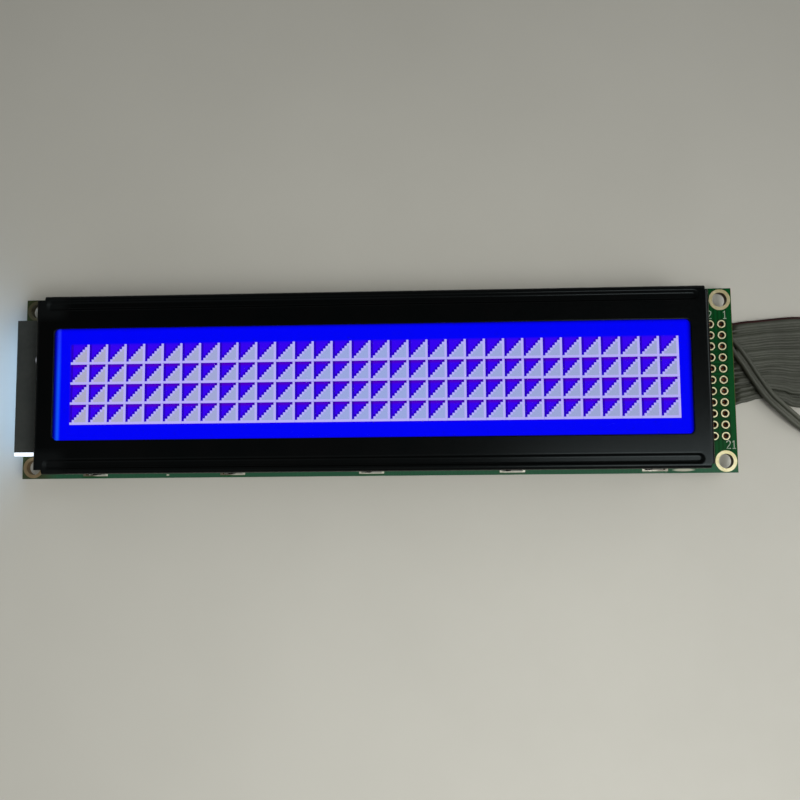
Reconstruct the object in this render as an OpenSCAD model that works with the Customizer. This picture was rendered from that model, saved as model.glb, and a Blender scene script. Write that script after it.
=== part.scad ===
// Dot-matrix liquid crystal display module: a pressed bezel clamps the glass, two conductive
// rubber strips and an edge-lit backlight onto a circuit board, and a ribbon lead is soldered
// to the header at the right-hand end. All sizes are in millimetres.
//
// Frame: the middle of the board's outline is the origin, +X runs along the display, +Y runs up
// the display and +Z points out of the screen. z = 0 is the surface that the module lies on.

/* [Dot matrix] */
// Dots across the display
dot_columns = 256; // [192:8:288]
// Dots down the display
dot_rows = 32; // [24:8:40]
// Distance from one dot to the next across the display
dot_pitch_x = 0.526; // [0.45:0.001:0.6]
// Distance from one dot to the next down the display
dot_pitch_y = 0.562; // [0.5:0.001:0.65]
// Dark gap between two dots
dot_gap = 0.04; // [0.02:0.01:0.08]
// Dots along one side of a cell of the test pattern
cell_dots = 8; // [4, 8]
// How far the matrix sits to the right of the window's middle
matrix_shift = 0.5; // [0:0.1:1]
// How far the matrix sits above the window's middle
matrix_lift = 0.1; // [0:0.05:0.5]

/* [Bezel] */
// Window border to the left and right of the matrix
border_x = 2.62; // [1.5:0.01:5]
// Window border above and below the matrix
border_y = 3.42; // [1.5:0.01:6]
// Width of the bezel's face beside the window
face_x = 4.25; // [4:0.05:8]
// Width of the bezel's face above and below the window
face_y = 7.45; // [7.1:0.05:12]
// Height of the bezel's face above the circuit board
bezel_h = 9; // [7.5:0.1:12]
// Thickness of the bezel's steel sheet
sheet_t = 0.6; // [0.4:0.05:0.8]
// Outer radius of the bezel's folds
fold_r = 0.9; // [0.8:0.05:1.2]
// How far the long walls stop short of the bezel's edge at the lamps' end
lamp_notch = 2; // [1.4:0.1:3]
// Radius of the window's corners
window_r = 1.1; // [0.5:0.1:2]
// Width of the pressed bead at the face
bead_w = 2.5; // [2.2:0.1:2.8]
// Width of each sloping side of the bead
bead_slope = 0.75; // [0.4:0.05:0.9]
// Depth of the pressed bead, which bears on the glass
bead_depth = 0.5; // [0.3:0.05:0.8]
// Distance from the bezel's long edge to the middle of the bead
bead_inset = 2.2; // [2.2:0.1:3]
// Distance from the bezel's short edge to the end of the bead
bead_end = 2.25; // [1.8:0.05:6]
// Locking tabs along each long side
tab_count = 5; // [3:1:7]
// Width of a locking tab
tab_w = 4; // [3:0.1:5]
// Distance from the bezel's short edge to the first tab's middle
tab_inset = 10.5; // [8:0.1:20]
// How far the twisted tabs reach below the board
tab_reach = 2.2; // [2.1:0.1:3]
// Angle by which the tabs are twisted behind the board
tab_twist = 30; // [20:1:50]

/* [Circuit board] */
// Thickness of the board
board_t = 1.6; // [1:0.1:2]
// Bare board to the left of the bezel
margin_left = 6.65; // [6.5:0.05:12]
// Bare board to the right of the bezel
margin_right = 7.95; // [7.8:0.05:14]
// Bare board above and below the bezel
margin_edge = 1.05; // [1:0.05:4]
// Diameter of the mounting holes
mount_hole_d = 3.3; // [2.5:0.1:3.6]
// Diameter of the bare metal land round a mounting hole
mount_land_d = 4.8; // [4.4:0.1:5.2]
// Distance from the board's edges to a mounting hole's middle
mount_inset = 2.6; // [2.6:0.05:3]
// Rows of holes in the two-column header
header_rows = 11; // [9:1:12]
// Distance between header holes
header_pitch = 2.54; // [2.2:0.01:2.6]
// Diameter of the header holes
header_hole_d = 1.05; // [0.8:0.05:1.2]
// Diameter of the land round a header hole
header_land_d = 1.8; // [1.5:0.05:1.9]
// Distance from the board's right edge to the outer column of holes
header_inset = 2.4; // [2.2:0.1:3]
// Thickness of the plated metal in holes and on lands
plating_t = 0.05; // [0.03:0.01:0.08]

/* [Display cell] */
// Thickness of each glass plate
glass_t = 1.1; // [0.7:0.05:1.2]
// Space between the two plates, which holds the liquid crystal
cell_gap = 0.06; // [0.04:0.01:0.1]
// Width of the sealing bead between the plates
seal_w = 0.8; // [0.5:0.1:1.2]
// Thickness of each polarizing film
polarizer_t = 0.2; // [0.1:0.05:0.25]
// How far the polarizing films reach past the window
polarizer_lap = 0.8; // [0.4:0.1:1]
// Thickness of a conductive rubber strip
zebra_w = 2; // [1.6:0.1:2.2]

/* [Backlight] */
// Distance from the board's left edge to the end of the backlight
bar_inset = 0.8; // [0.6:0.1:2]
// Wall of the backlight's tray
tray_wall = 1.2; // [0.8:0.1:1.5]
// How far the tray's lamp end is stepped back beside the upper mounting land
lamp_step = 0.65; // [0.4:0.05:0.8]
// Floor of the backlight's tray
tray_floor = 0.8; // [0.5:0.1:1]
// Thickness of the reflecting and diffusing films
film_t = 0.2; // [0.1:0.05:0.3]
// Lamps along the backlight's left end
lamp_count = 6; // [4:1:8]
// Width of one lamp
lamp_w = 2.8; // [2:0.1:3]
// Thickness of the lamp strip's board
strip_t = 1; // [0.6:0.1:1.2]
// Thickness of the shading tape
tape_t = 0.1; // [0.05:0.05:0.2]
// Length of tray that the tape leaves bare at its lower end
tape_short = 0.8; // [0.5:0.1:3]

/* [Circuit] */
// Diameter of a resin drop over a bonded chip
drop_d = 17; // [12:1:19]
// Height of a resin drop
drop_h = 1.6; // [1.2:0.1:1.9]

/* [Ribbon lead] */
// Wires in the ribbon
ribbon_wires = 16; // [10:2:18]
// Thickness of the ribbon
ribbon_t = 0.9; // [0.7:0.05:1]
// Height of the socket above the ribbon
socket_body_h = 7.6; // [6:0.1:9]
// Height of the socket's cap below the ribbon
socket_cap_h = 3.4; // [3.4:0.1:4.5]
// Width of the socket along the ribbon
socket_w = 6.2; // [6:0.1:7]

/* [Hidden] */
$fn = 48;
tiny = 0.01;              // how far a cutting tool passes a face
bead_steps = 8;           // flats along each curved side of a bead
glass_gap = 0.4;          // round the glass, inside the bezel
core_gap = 0.95;          // between the rubber strips and the tray and rear glass between them
slot_gap = 0.3;           // round a tab in its slot
notch_gap = 0.1;          // between a fold and the wall beside its notch
land_gap = 0.3;           // between the tray and the mounting lands
opening_gap = 0.3;        // round the tray where it leaves the bezel
part_gap = 0.2;           // round the light guide, lamps and films in the tray
cable_gap = 0.05;         // between lapped cables and the table

// Plan sizes, from the matrix outwards
matrix_w = dot_columns * dot_pitch_x;
matrix_d = dot_rows * dot_pitch_y;
window_w = matrix_w + 2 * border_x;
window_d = matrix_d + 2 * border_y;
bezel_w = window_w + 2 * face_x;
bezel_d = window_d + 2 * face_y;
board_w = bezel_w + margin_left + margin_right;
board_d = bezel_d + 2 * margin_edge;
bezel_x = (margin_left - margin_right) / 2;
bezel_x0 = bezel_x - bezel_w / 2;
bead_y = bezel_d / 2 - bead_inset;
glass_w = bezel_w - 2 * (sheet_t + glass_gap);
glass_d = bezel_d - 2 * (sheet_t + glass_gap);
polarizer_w = window_w + 2 * polarizer_lap;
polarizer_d = window_d + 2 * polarizer_lap;
core_d = 2 * (bead_y - zebra_w / 2 - core_gap);
tray_x0 = -board_w / 2 + bar_inset;
tray_x1 = bezel_x + glass_w / 2;

// Heights, from the table upwards
board_z = tab_reach;
deck_z = board_z + board_t;
seat_z = deck_z + plating_t;
bezel_z = deck_z + bezel_h;
face_under_z = bezel_z - sheet_t;
front_glass_z = face_under_z - bead_depth - glass_t;
rear_glass_z = front_glass_z - cell_gap - glass_t;
tray_z = rear_glass_z - polarizer_t;
guide_z = deck_z + tray_floor + film_t;

// Header, counted from the top right-hand hole
header_x = board_w / 2 - header_inset;
function row_y(row) = ((header_rows - 1) / 2 - row) * header_pitch;
function column_x(column) = header_x - column * header_pitch;

// Inside of the tray, from the lamps at its left end to its right-hand wall
pocket_x0 = tray_x0 + tray_wall;
pocket_x1 = tray_x1 - tray_wall;
pocket_d = core_d - 2 * tray_wall;
lamp_t = 0.9;
lamp_h = 2.2;
lamp_x = pocket_x0 + strip_t;
guide_x0 = lamp_x + lamp_t + part_gap;
film_x0 = bezel_x0 + sheet_t + part_gap;
pin_r = 0.3;
pin_inset = 5;
pin_y = core_d / 2 - pin_inset;
pin_land = 0.4;
pin_x = pocket_x0 + strip_t / 2;

// Parts on the back of the board: places as [x, y], drivers spread along the matrix
driver_count = 5;
drop_pitch = matrix_w / driver_count;
drop_y = 5;
amplifier_at = [38, -10];
pump_at = [14, -10];
resistors_at = [[-50, -12], [-46, -12], [-42, -12], [-38, -12], [27, -8], [27, -12], [49, -8], [49, -12]];
capacitors_at = [[-28, -12], [-24, -12], [-6, -8], [-6, -12], [54, -8], [54, -12]];
tantalums_at = [[-16, -11], [2, -11]];

// Routes: the middle of each cable, from the board outwards. x is measured from the board's
// right-hand edge, y from the middle of the wires' first row of holes, and the third number is
// how far the cable has risen, from 0 on the table to 1 at the seam of the socket or, for the
// lead, on top of the ribbon.
ribbon_pitch = header_pitch / 2;
ribbon_w = ribbon_wires * ribbon_pitch;
ribbon_low_z = cable_gap + ribbon_t / 2;
ribbon_points = [
    [-0.5, 0, 0], [2.5, 0, 0], [5.5, 0.1, 0], [8.5, 0.2, 0], [12.5, 0.4, 0],
    [16.5, 0.6, 0], [22.5, 0.8, 0], [30, 1, 0], [38, 1, 0], [48, 1, 0],
    [58, 1, 0], [68, 1, 0], [78, 1, 0.06], [86, 1, 0.2], [94, 1, 0.45],
    [102, 1, 0.75], [108, 1, 0.93], [112, 1, 1], [115, 1, 1], [121, 1, 1]
];
ribbon_route = [for (p = ribbon_points) [
    board_w / 2 + p.x,
    row_y(0) - (ribbon_wires - 1) / 2 * ribbon_pitch + p.y,
    ribbon_low_z + p.z * (socket_cap_h + ribbon_t / 2 - ribbon_low_z)
]];
lead_wires = 2;
lead_t = 0.9;
lead_w = lead_wires * ribbon_pitch;
lead_points = [
    [1.4, -5.6, 1], [1.9, -6.4, 1], [3.3, -8.7, 1], [5, -11.7, 1], [6.9, -14.9, 1],
    [8.6, -17.3, 1], [10.5, -19.4, 1], [12.6, -21.4, 0.9], [14.9, -23.3, 0.5],
    [17.6, -25.1, 0.15], [20.6, -26.7, 0], [24.6, -28, 0], [30, -29, 0],
    [37, -29.6, 0], [45, -29.8, 0], [54, -29.8, 0], [64, -29.8, 0.1], [74, -29.8, 0.5],
    [80, -29.8, 0.8], [84, -29.8, 0.8]
];
function lead_place(p) = [
    board_w / 2 + p.x,
    row_y(0) + p.y,
    cable_gap + lead_t / 2 + p.z * (ribbon_t + cable_gap)
];
lead_route = [for (p = lead_points) lead_place(p)];
lead_tail_points = [
    [[-0.55, -2.9, 1], [0, -2.9, 1], [0.5, -3.05, 1], [0.95, -3.5, 1]],
    [[-0.55, -4.3, 1], [-0.2, -4.3, 1], [0.1, -4.45, 1], [0.3, -4.8, 1]]
];

// A block standing on z = 0, centred across
module block(size) {
    translate([-size.x / 2, -size.y / 2, 0])
        cube(size);
}

// A block between two opposite corners
module span(low, high) {
    translate(low)
        cube(high - low);
}

module rounded_rectangle(w, d, r) {
    square([w - 2 * r, d], center = true);
    square([w, d - 2 * r], center = true);
    for (x = [-1, 1], y = [-1, 1])
        translate([x * (w / 2 - r), y * (d / 2 - r)])
            circle(r);
}

// Places its child, modelled on z = 0 and growing upwards, under the board
module under_board(at) {
    translate([at.x, at.y, board_z])
        mirror([0, 0, 1])
            children();
}

// A flat or round cable: a profile of [across, up] points swept along a route
function unit(v) = v / norm(v);
function heading(route, i) =
    unit(route[min(i + 1, len(route) - 1)] - route[max(i - 1, 0)]);
function across(route, i, side) =
    is_undef(side) ? unit(cross(heading(route, i), [0, 0, 1])) : side;
function ring(route, i, profile, side) =
    let (right = across(route, i, side), up = unit(cross(right, heading(route, i))))
    [for (p = profile) route[i] + p.x * right + p.y * up];
module sweep(route, profile, side) {
    n = len(profile);
    last = len(route) - 1;
    points = [for (i = [0:last]) each ring(route, i, profile, side)];
    walls = [for (i = [0:last - 1], k = [0:n - 1])
        [i * n + k, i * n + (k + 1) % n, (i + 1) * n + (k + 1) % n, (i + 1) * n + k]];
    start = [for (k = [n - 1:-1:0]) k];
    end = [for (k = [0:n - 1]) last * n + k];
    polyhedron(points, [start, each walls, end], convexity = 4);
}
function flat_profile(w, t) =
    let (x = w / 2, y = t / 2, c = t / 4)
    [[-x, c - y], [-x, y - c], [c - x, y], [x - c, y], [x, y - c], [x, c - y], [x - c, -y], [c - x, -y]];
function round_profile(d) = [for (a = [337.5:-45:22.5]) d / 2 * [cos(a), sin(a)]];

// Circuit board and its plated holes

function mount_points() = [for (x = [-1, 1], y = [-1, 1])
    [x * (board_w / 2 - mount_inset), y * (board_d / 2 - mount_inset)]];
function header_points() = [for (row = [0:header_rows - 1], column = [0, 1])
    [column_x(column), row_y(row)]];
tab_step = (bezel_w - 2 * tab_inset) / (tab_count - 1);
tab_y = bezel_d / 2 - sheet_t / 2;
function tab_points() = [for (i = [0:tab_count - 1], y = [-1, 1])
    [bezel_x0 + tab_inset + i * tab_step, y * tab_y]];
slot_w = tab_w + 2 * slot_gap;
slot_d = sheet_t + 2 * slot_gap;

module circuit_board() {
    color("darkgreen")
        difference() {
            translate([0, 0, board_z])
                block([board_w, board_d, board_t]);
            for (p = mount_points())
                board_hole(p, mount_hole_d / 2 + plating_t);
            for (p = header_points())
                board_hole(p, header_hole_d / 2 + plating_t);
            for (y = [-pin_y, pin_y])
                board_hole([pin_x, y], pin_r + part_gap);
            for (p = tab_points())
                translate([p.x, p.y, board_z - tiny])
                    block([slot_w, slot_d, board_t + 2 * tiny]);
        }
}

module board_hole(p, r) {
    translate([p.x, p.y, board_z - tiny])
        cylinder(r = r, h = board_t + 2 * tiny);
}

// A plated hole: a land on each face of the board, joined by a thin barrel
module plated_hole(hole_d, land_d) {
    r = hole_d / 2;
    rotate_extrude()
        polygon([
            [r, board_z - plating_t], [land_d / 2, board_z - plating_t], [land_d / 2, board_z],
            [r + plating_t, board_z], [r + plating_t, deck_z],
            [land_d / 2, deck_z], [land_d / 2, seat_z], [r, seat_z]
        ]);
}

module mounting_lands() {
    color("goldenrod")
        for (p = mount_points())
            translate(p)
                plated_hole(mount_hole_d, mount_land_d);
}

module header_lands() {
    color("goldenrod")
        for (p = header_points())
            translate(p)
                plated_hole(header_hole_d, header_land_d);
}

// Tinned lands round the slots on both faces of the board, open towards the rubber strips
module tab_lands() {
    land_rim = 0.55;
    color("silver")
        for (p = tab_points(), z = [board_z - plating_t, deck_z])
            translate([p.x, p.y, z])
                rotate(p.y > 0 ? 0 : 180)
                    linear_extrude(plating_t)
                        difference() {
                            translate([-slot_w / 2 - land_rim, -slot_d / 2])
                                square([slot_w + 2 * land_rim, slot_d + land_rim]);
                            translate([-slot_w / 2, -slot_d / 2 - tiny])
                                square([slot_w, slot_d + tiny]);
                        }
}

// Bezel: one pressed and folded sheet

// Outline of the sheet across a fold pair: a face and two walls, open below
module channel_outline(w) {
    inner_r = fold_r - sheet_t;
    difference() {
        channel_shape(w, bezel_z, fold_r);
        channel_shape(w - 2 * sheet_t, face_under_z, inner_r);
    }
}

module channel_shape(w, top, r) {
    translate([-w / 2, seat_z])
        square([w, top - r - seat_z]);
    translate([r - w / 2, seat_z])
        square([w - 2 * r, top - seat_z]);
    for (x = [-1, 1])
        translate([x * (w / 2 - r), top - r])
            circle(r);
}

// The corners are notched where two folds would meet
module folded_sheet() {
    long = bezel_w - lamp_notch - fold_r;
    short = bezel_d - 2 * (fold_r + notch_gap);
    translate([lamp_notch - bezel_w / 2, 0, 0])
        rotate([90, 0, 90])
            linear_extrude(long)
                channel_outline(bezel_d);
    translate([0, short / 2, 0])
        rotate([90, 0, 0])
            linear_extrude(short)
                channel_outline(bezel_w);
}

// A bar with round ends, hanging down from z = 0. Its sides curve over the lip and into the
// floor, as pressed sheet does.
function bead_side(top_w, floor_w, depth) = [for (i = [0:bead_steps])
    [top_w / 2 - i / bead_steps * (top_w - floor_w) / 2, (cos(180 * i / bead_steps) - 1) * depth / 2]];
module bead(length, top_w, floor_w, depth) {
    straight = length - top_w;
    side = bead_side(top_w, floor_w, depth);
    for (x = [-straight / 2, straight / 2])
        translate([x, 0, 0])
            rotate_extrude()
                polygon([[0, 0], each side, [0, -depth]]);
    translate([-straight / 2, 0, 0])
        rotate([90, 0, 90])
            linear_extrude(straight)
                for (turn = [0, 1])
                    mirror([turn, 0])
                        polygon([[0, 0], each side, [0, -depth]]);
}

module locking_tab() {
    tip_z = board_z - plating_t;
    translate([0, 0, tip_z / 2])
        block([tab_w, sheet_t, seat_z + sheet_t - tip_z / 2]);
    rotate(tab_twist)
        block([tab_w, sheet_t, tip_z]);
}

module bezel() {
    bead_floor = bead_w - 2 * bead_slope;
    bead_wall = sheet_t / 2;
    bead_length = bezel_w - 2 * bead_end;
    opening_d = core_d + 2 * opening_gap;
    color([0.05, 0.05, 0.06])
        difference() {
            union() {
                translate([bezel_x, 0, 0])
                    folded_sheet();
                for (y = [-bead_y, bead_y])
                    translate([bezel_x, y, face_under_z])
                        bead(bead_length, bead_w + bead_wall, bead_floor + bead_wall, bead_depth);
                for (p = tab_points())
                    translate(p)
                        locking_tab();
            }
            translate([bezel_x, 0, face_under_z - tiny])
                linear_extrude(sheet_t + 2 * tiny)
                    rounded_rectangle(window_w, window_d, window_r);
            for (y = [-bead_y, bead_y])
                translate([bezel_x, y, bezel_z])
                    bead(bead_length, bead_w, bead_floor, bead_depth);
            span([bezel_x0 - tiny, -opening_d / 2, seat_z - tiny],
                [bezel_x0 + 2 * fold_r, opening_d / 2, tray_z + tape_t + opening_gap]);
        }
}

// Display cell

module plate(w, d, z, t) {
    translate([bezel_x, 0, z])
        block([w, d, t]);
}

module front_polarizer() {
    color([0.1, 0.15, 0.6])
        plate(polarizer_w, polarizer_d, front_glass_z + glass_t, polarizer_t);
}

module front_glass() {
    color("lightcyan")
        plate(glass_w, glass_d, front_glass_z, glass_t);
}

module cell_seal() {
    color("dimgray")
        translate([bezel_x, 0, front_glass_z - cell_gap])
            linear_extrude(cell_gap)
                difference() {
                    square([glass_w, core_d], center = true);
                    square([glass_w - 2 * seal_w, core_d - 2 * seal_w], center = true);
                }
}

// One cell of the test pattern: the dots on and below its rising diagonal
module lit_cell() {
    right = cell_dots * dot_pitch_x - dot_gap;
    top = cell_dots * dot_pitch_y - dot_gap;
    steps = [for (c = [cell_dots - 1:-1:1]) each [
        [c * dot_pitch_x, (c + 1) * dot_pitch_y - dot_gap],
        [c * dot_pitch_x, c * dot_pitch_y - dot_gap]
    ]];
    polygon([[0, 0], [right, 0], [right, top], each steps, [0, dot_pitch_y - dot_gap]]);
}

module dot_matrix() {
    cell_w = cell_dots * dot_pitch_x;
    cell_d = cell_dots * dot_pitch_y;
    color("lavender")
        translate([bezel_x + matrix_shift - matrix_w / 2, matrix_lift - matrix_d / 2,
                front_glass_z - cell_gap])
            for (i = [0:dot_columns / cell_dots - 1], j = [0:dot_rows / cell_dots - 1])
                translate([i * cell_w, j * cell_d, 0])
                    linear_extrude(cell_gap)
                        lit_cell();
}

module rear_glass() {
    color("lightcyan")
        plate(glass_w, core_d, rear_glass_z, glass_t);
}

module rear_polarizer() {
    color([0.1, 0.15, 0.6])
        plate(polarizer_w, polarizer_d, tray_z, polarizer_t);
}

// Conductive rubber strips between the board and the front plate's ledges
module zebra_strip(side) {
    color("dimgray")
        translate([bezel_x, side * bead_y, deck_z])
            block([polarizer_w, zebra_w, front_glass_z - deck_z]);
}

// Backlight

module backlight_tray() {
    color("white")
        difference() {
            span([tray_x0, -core_d / 2, deck_z], [tray_x1, core_d / 2, tray_z]);
            span([tray_x0 - tiny, core_d / 2 - lamp_step, deck_z - tiny],
                [bezel_x0, core_d / 2 + tiny, tray_z + tiny]);
            span([pocket_x0, -pocket_d / 2, deck_z + tray_floor], [pocket_x1, pocket_d / 2, tray_z + tiny]);
            for (y = [-pin_y, pin_y])
                translate([pin_x, y, deck_z - tiny])
                    cylinder(r = pin_r + part_gap, h = tray_floor + 2 * tiny);
            for (p = mount_points())
                translate([p.x, p.y, deck_z - tiny])
                    cylinder(d = mount_land_d + 2 * land_gap, h = tray_z - deck_z + 2 * tiny);
        }
}

// A sheet or slab in the tray, clear of its walls
module in_tray(x0, z0, z1) {
    span([x0, part_gap - pocket_d / 2, z0], [pocket_x1 - part_gap, pocket_d / 2 - part_gap, z1]);
}

module reflector_film() {
    color("white")
        in_tray(guide_x0, deck_z + tray_floor, guide_z);
}

module light_guide() {
    color("lightblue")
        in_tray(guide_x0, guide_z, tray_z - film_t);
}

module diffuser_film() {
    color("white")
        in_tray(film_x0, tray_z - film_t, tray_z);
}

module lamp_strip() {
    color("white")
        span([pocket_x0, part_gap - pocket_d / 2, deck_z + tray_floor],
            [lamp_x, pocket_d / 2 - part_gap, tray_z - part_gap]);
}

module lamps() {
    step = pocket_d / lamp_count;
    middle_z = (deck_z + tray_floor + tray_z) / 2;
    color("lightyellow")
        for (i = [0:lamp_count - 1])
            translate([lamp_x + lamp_t / 2, (i + 0.5) * step - pocket_d / 2, middle_z - lamp_h / 2])
                block([lamp_t, lamp_w, lamp_h]);
}

module backlight_pins() {
    color("silver")
        for (y = [-pin_y, pin_y])
            translate([pin_x, y, pin_r])
                cylinder(r = pin_r, h = deck_z + tray_floor - pin_r);
}

module backlight_solder() {
    color("silver")
        for (y = [-pin_y, pin_y])
            translate([pin_x, y, 0])
                solder_cone(board_z, pin_r, pin_r + 2 * part_gap + pin_land);
}

// Solder round a wire under a land at height z
module solder_cone(z, wire_r, land_r) {
    cone_h = 0.6;
    cone_lip = 0.2;
    rotate_extrude()
        polygon([[wire_r, z - cone_h], [wire_r + cone_lip, z - cone_h], [land_r, z], [wire_r, z]]);
}

module shading_tape() {
    color([0.2, 0.2, 0.19])
        span([tray_x0, tape_short - core_d / 2, tray_z],
            [bezel_x0 + sheet_t, core_d / 2 - lamp_step, tray_z + tape_t]);
}

// Driving circuit on the back of the board

// A low dome of resin over a bonded chip
module resin_drop(i) {
    r = drop_d / 2;
    dome_r = (r * r + drop_h * drop_h) / (2 * drop_h);
    color([0.06, 0.06, 0.06])
        under_board([bezel_x + (i - (driver_count - 1) / 2) * drop_pitch, drop_y])
            rotate_extrude()
                intersection() {
                    translate([0, drop_h - dome_r])
                        circle(dome_r, $fn = 240);
                    square([drop_d, drop_h + tiny]);
                }
}

chip_body_d = 3.9;
chip_body_h = 1.4;
chip_stand = 0.15;
chip_lead_t = 0.2;
chip_lead_w = 0.42;
chip_lead_pitch = 1.27;
chip_end = 0.2;            // how much shorter the body is than its row of leads
chip_span = 6;

module chip_body(pins) {
    translate([0, 0, chip_stand])
        block([pins / 2 * chip_lead_pitch - chip_end, chip_body_d, chip_body_h]);
}

// Gull-wing leads along both sides of a small chip
module chip_leads(pins) {
    foot = 0.6;
    y0 = chip_body_d / 2;
    y1 = chip_span / 2;
    knee = y1 - foot;
    top = chip_stand + chip_body_h / 2;
    t = chip_lead_t;
    for (i = [0:pins / 2 - 1], turn = [0, 180])
        rotate(turn)
            translate([(i - (pins / 2 - 1) / 2) * chip_lead_pitch - chip_lead_w / 2, 0, 0])
                rotate([90, 0, 90])
                    linear_extrude(chip_lead_w)
                        polygon([
                            [y0, top], [knee, top], [knee, t], [y1, t],
                            [y1, 0], [knee - t, 0], [knee - t, top - t], [y0, top - t]
                        ]);
}

amplifier_pins = 14;
pump_pins = 8;

module bias_amplifier() {
    color([0.1, 0.1, 0.1])
        under_board(amplifier_at)
            chip_body(amplifier_pins);
}

module bias_amplifier_leads() {
    color("silver")
        under_board(amplifier_at)
            chip_leads(amplifier_pins);
}

module charge_pump() {
    color([0.1, 0.1, 0.1])
        under_board(pump_at)
            chip_body(pump_pins);
}

module charge_pump_leads() {
    color("silver")
        under_board(pump_at)
            chip_leads(pump_pins);
}

// Chip parts: a body between two metal ends, [length, width, height, length of an end]
resistor_size = [2, 1.25, 0.5, 0.35];
capacitor_size = [2, 1.25, 0.9, 0.45];
tantalum_size = [3.5, 2.8, 1.8, 0.4];

module chip_bodies(places, size) {
    for (p = places)
        under_board(p)
            block([size[0] - 2 * size[3], size[1], size[2]]);
}

module chip_ends(places, size) {
    for (p = places, x = [-1, 1])
        under_board(p)
            translate([x * (size[0] - size[3]) / 2, 0, 0])
                block([size[3], size[1], size[2]]);
}

module chip_resistors() {
    color([0.08, 0.08, 0.09])
        chip_bodies(resistors_at, resistor_size);
}

module chip_capacitors() {
    color("tan")
        chip_bodies(capacitors_at, capacitor_size);
}

module tantalum_capacitors() {
    color("orange")
        chip_bodies(tantalums_at, tantalum_size);
}

module chip_terminals() {
    color("silver") {
        chip_ends(resistors_at, resistor_size);
        chip_ends(capacitors_at, capacitor_size);
        chip_ends(tantalums_at, tantalum_size);
    }
}

// Ribbon lead

conductor_r = 0.25;
tail_d = 0.88;
tail_z = ribbon_route[0].z;
tail_stop = 0.7;          // from the end of a wire's sheath up to its land
tail_turn = 1.6;          // from a hole to the place where its wire starts to turn
tail_lean = 0.2;          // how far a wire still leans where it rises into its hole
conductor_stop = 0.4;     // from the end of a bare wire up to the board's face
tail_top_z = board_z - plating_t - tail_stop;
function wire_row(wire) = floor(wire / 2);
function wire_hole(wire) = [column_x(wire % 2), row_y(wire_row(wire))];

module ribbon_cable() {
    color("gray")
        sweep(ribbon_route, flat_profile(ribbon_w, ribbon_t));
}

// A separate wire from the ribbon's end to the hole that it is soldered in
module ribbon_tail(wire) {
    hole = wire_hole(wire);
    y = ribbon_route[0].y + ((ribbon_wires - 1) / 2 - wire) * ribbon_pitch;
    sweep([
        [ribbon_route[0].x, y, tail_z],
        [hole.x + tail_turn, y, tail_z],
        [hole.x + (tail_turn + tail_lean) / 2, (y + 2 * hole.y) / 3, tail_z],
        [hole.x + tail_lean, hole.y, tail_z + tail_lean],
        [hole.x, hole.y, tail_top_z - tail_lean],
        [hole.x, hole.y, tail_top_z]
    ], round_profile(tail_d), [0, 1, 0]);
}

module ribbon_tails() {
    color("gray")
        for (wire = [0:ribbon_wires - 1])
            ribbon_tail(wire);
}

module tail_conductors() {
    color("chocolate")
        for (wire = [0:ribbon_wires - 1])
            translate([wire_hole(wire).x, wire_hole(wire).y, tail_top_z])
                cylinder(r = conductor_r, h = deck_z - conductor_stop - tail_top_z);
}

module header_solder() {
    color("silver")
        for (wire = [0:ribbon_wires - 1])
            translate(wire_hole(wire))
                solder_cone(board_z - plating_t, conductor_r, header_land_d / 2);
}

// Socket: its cap lies on the table and its contacts open upwards
route_end = ribbon_route[len(ribbon_route) - 1];
socket_at = [route_end.x - socket_w / 2, route_end.y, 0];
socket_side = 2.5;
socket_l = ribbon_w + 2 * socket_side;
cap_z = route_end.z - ribbon_t / 2;
ribbon_top_z = route_end.z + ribbon_t / 2;
contact_pitch = 2 * ribbon_pitch;
contact_hole = 0.9;
contact_floor = 1.5;
contact_recess = 1;
function contact_points() = [for (i = [0:ribbon_wires / 2 - 1], x = [-1, 1])
    [x * contact_pitch / 2, (i - (ribbon_wires / 2 - 1) / 2) * contact_pitch]];

module ribbon_socket() {
    key = [0.8, 4, 4];
    cheek = socket_side - cable_gap;
    color([0.1, 0.1, 0.11])
        translate(socket_at)
            difference() {
                union() {
                    translate([0, 0, ribbon_top_z])
                        block([socket_w, socket_l, socket_body_h]);
                    for (y = [-1, 1])
                        translate([0, y * (socket_l - cheek) / 2, cap_z])
                            block([socket_w, cheek, ribbon_t + tiny]);
                    translate([(socket_w + key.x) / 2 - tiny, 0, ribbon_top_z + socket_body_h - key.z])
                        block(key);
                }
                for (p = contact_points())
                    translate([p.x, p.y, ribbon_top_z + contact_floor])
                        block([contact_hole, contact_hole, socket_body_h]);
            }
}

// The cap clamps the ribbon and hooks up over the socket's ends
module ribbon_socket_cap() {
    hook = [3, 1, cap_z + socket_body_h / 2];
    groove_end = 2;
    groove = [1, socket_l - 2 * groove_end, 0.8];
    color([0.1, 0.1, 0.11])
        translate(socket_at)
            difference() {
                union() {
                    translate([0, 0, cap_z - socket_cap_h])
                        block([socket_w, socket_l, socket_cap_h]);
                    for (y = [-1, 1])
                        translate([0, y * (socket_l + hook.y) / 2, 0])
                            block(hook);
                }
                for (x = [-1, 1])
                    translate([x * socket_w / 2, 0, cap_z - (socket_cap_h + groove.z) / 2])
                        block(groove);
            }
}

module ribbon_socket_contacts() {
    blade = [0.3, 0.6];
    color("gold")
        translate(socket_at)
            for (p = contact_points(), x = [-1, 1])
                translate([p.x + x * (contact_hole - blade.x) / 2, p.y, ribbon_top_z + contact_floor])
                    block([blade.x, blade.y, socket_body_h - contact_floor - contact_recess]);
}

// Two-wire backlight lead

lead_end = lead_route[len(lead_route) - 1];
lead_land = [0.8, 1];
lead_land_gap = 0.1;
lead_land_x = header_x + (header_land_d + lead_land.x) / 2 + lead_land_gap;
lead_housing_size = [14, 2 * header_pitch, 2.5];
lead_cavity = 1;
lead_cavity_end = 2;
function tail_start(i) = lead_place(lead_tail_points[i][0]);

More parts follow.
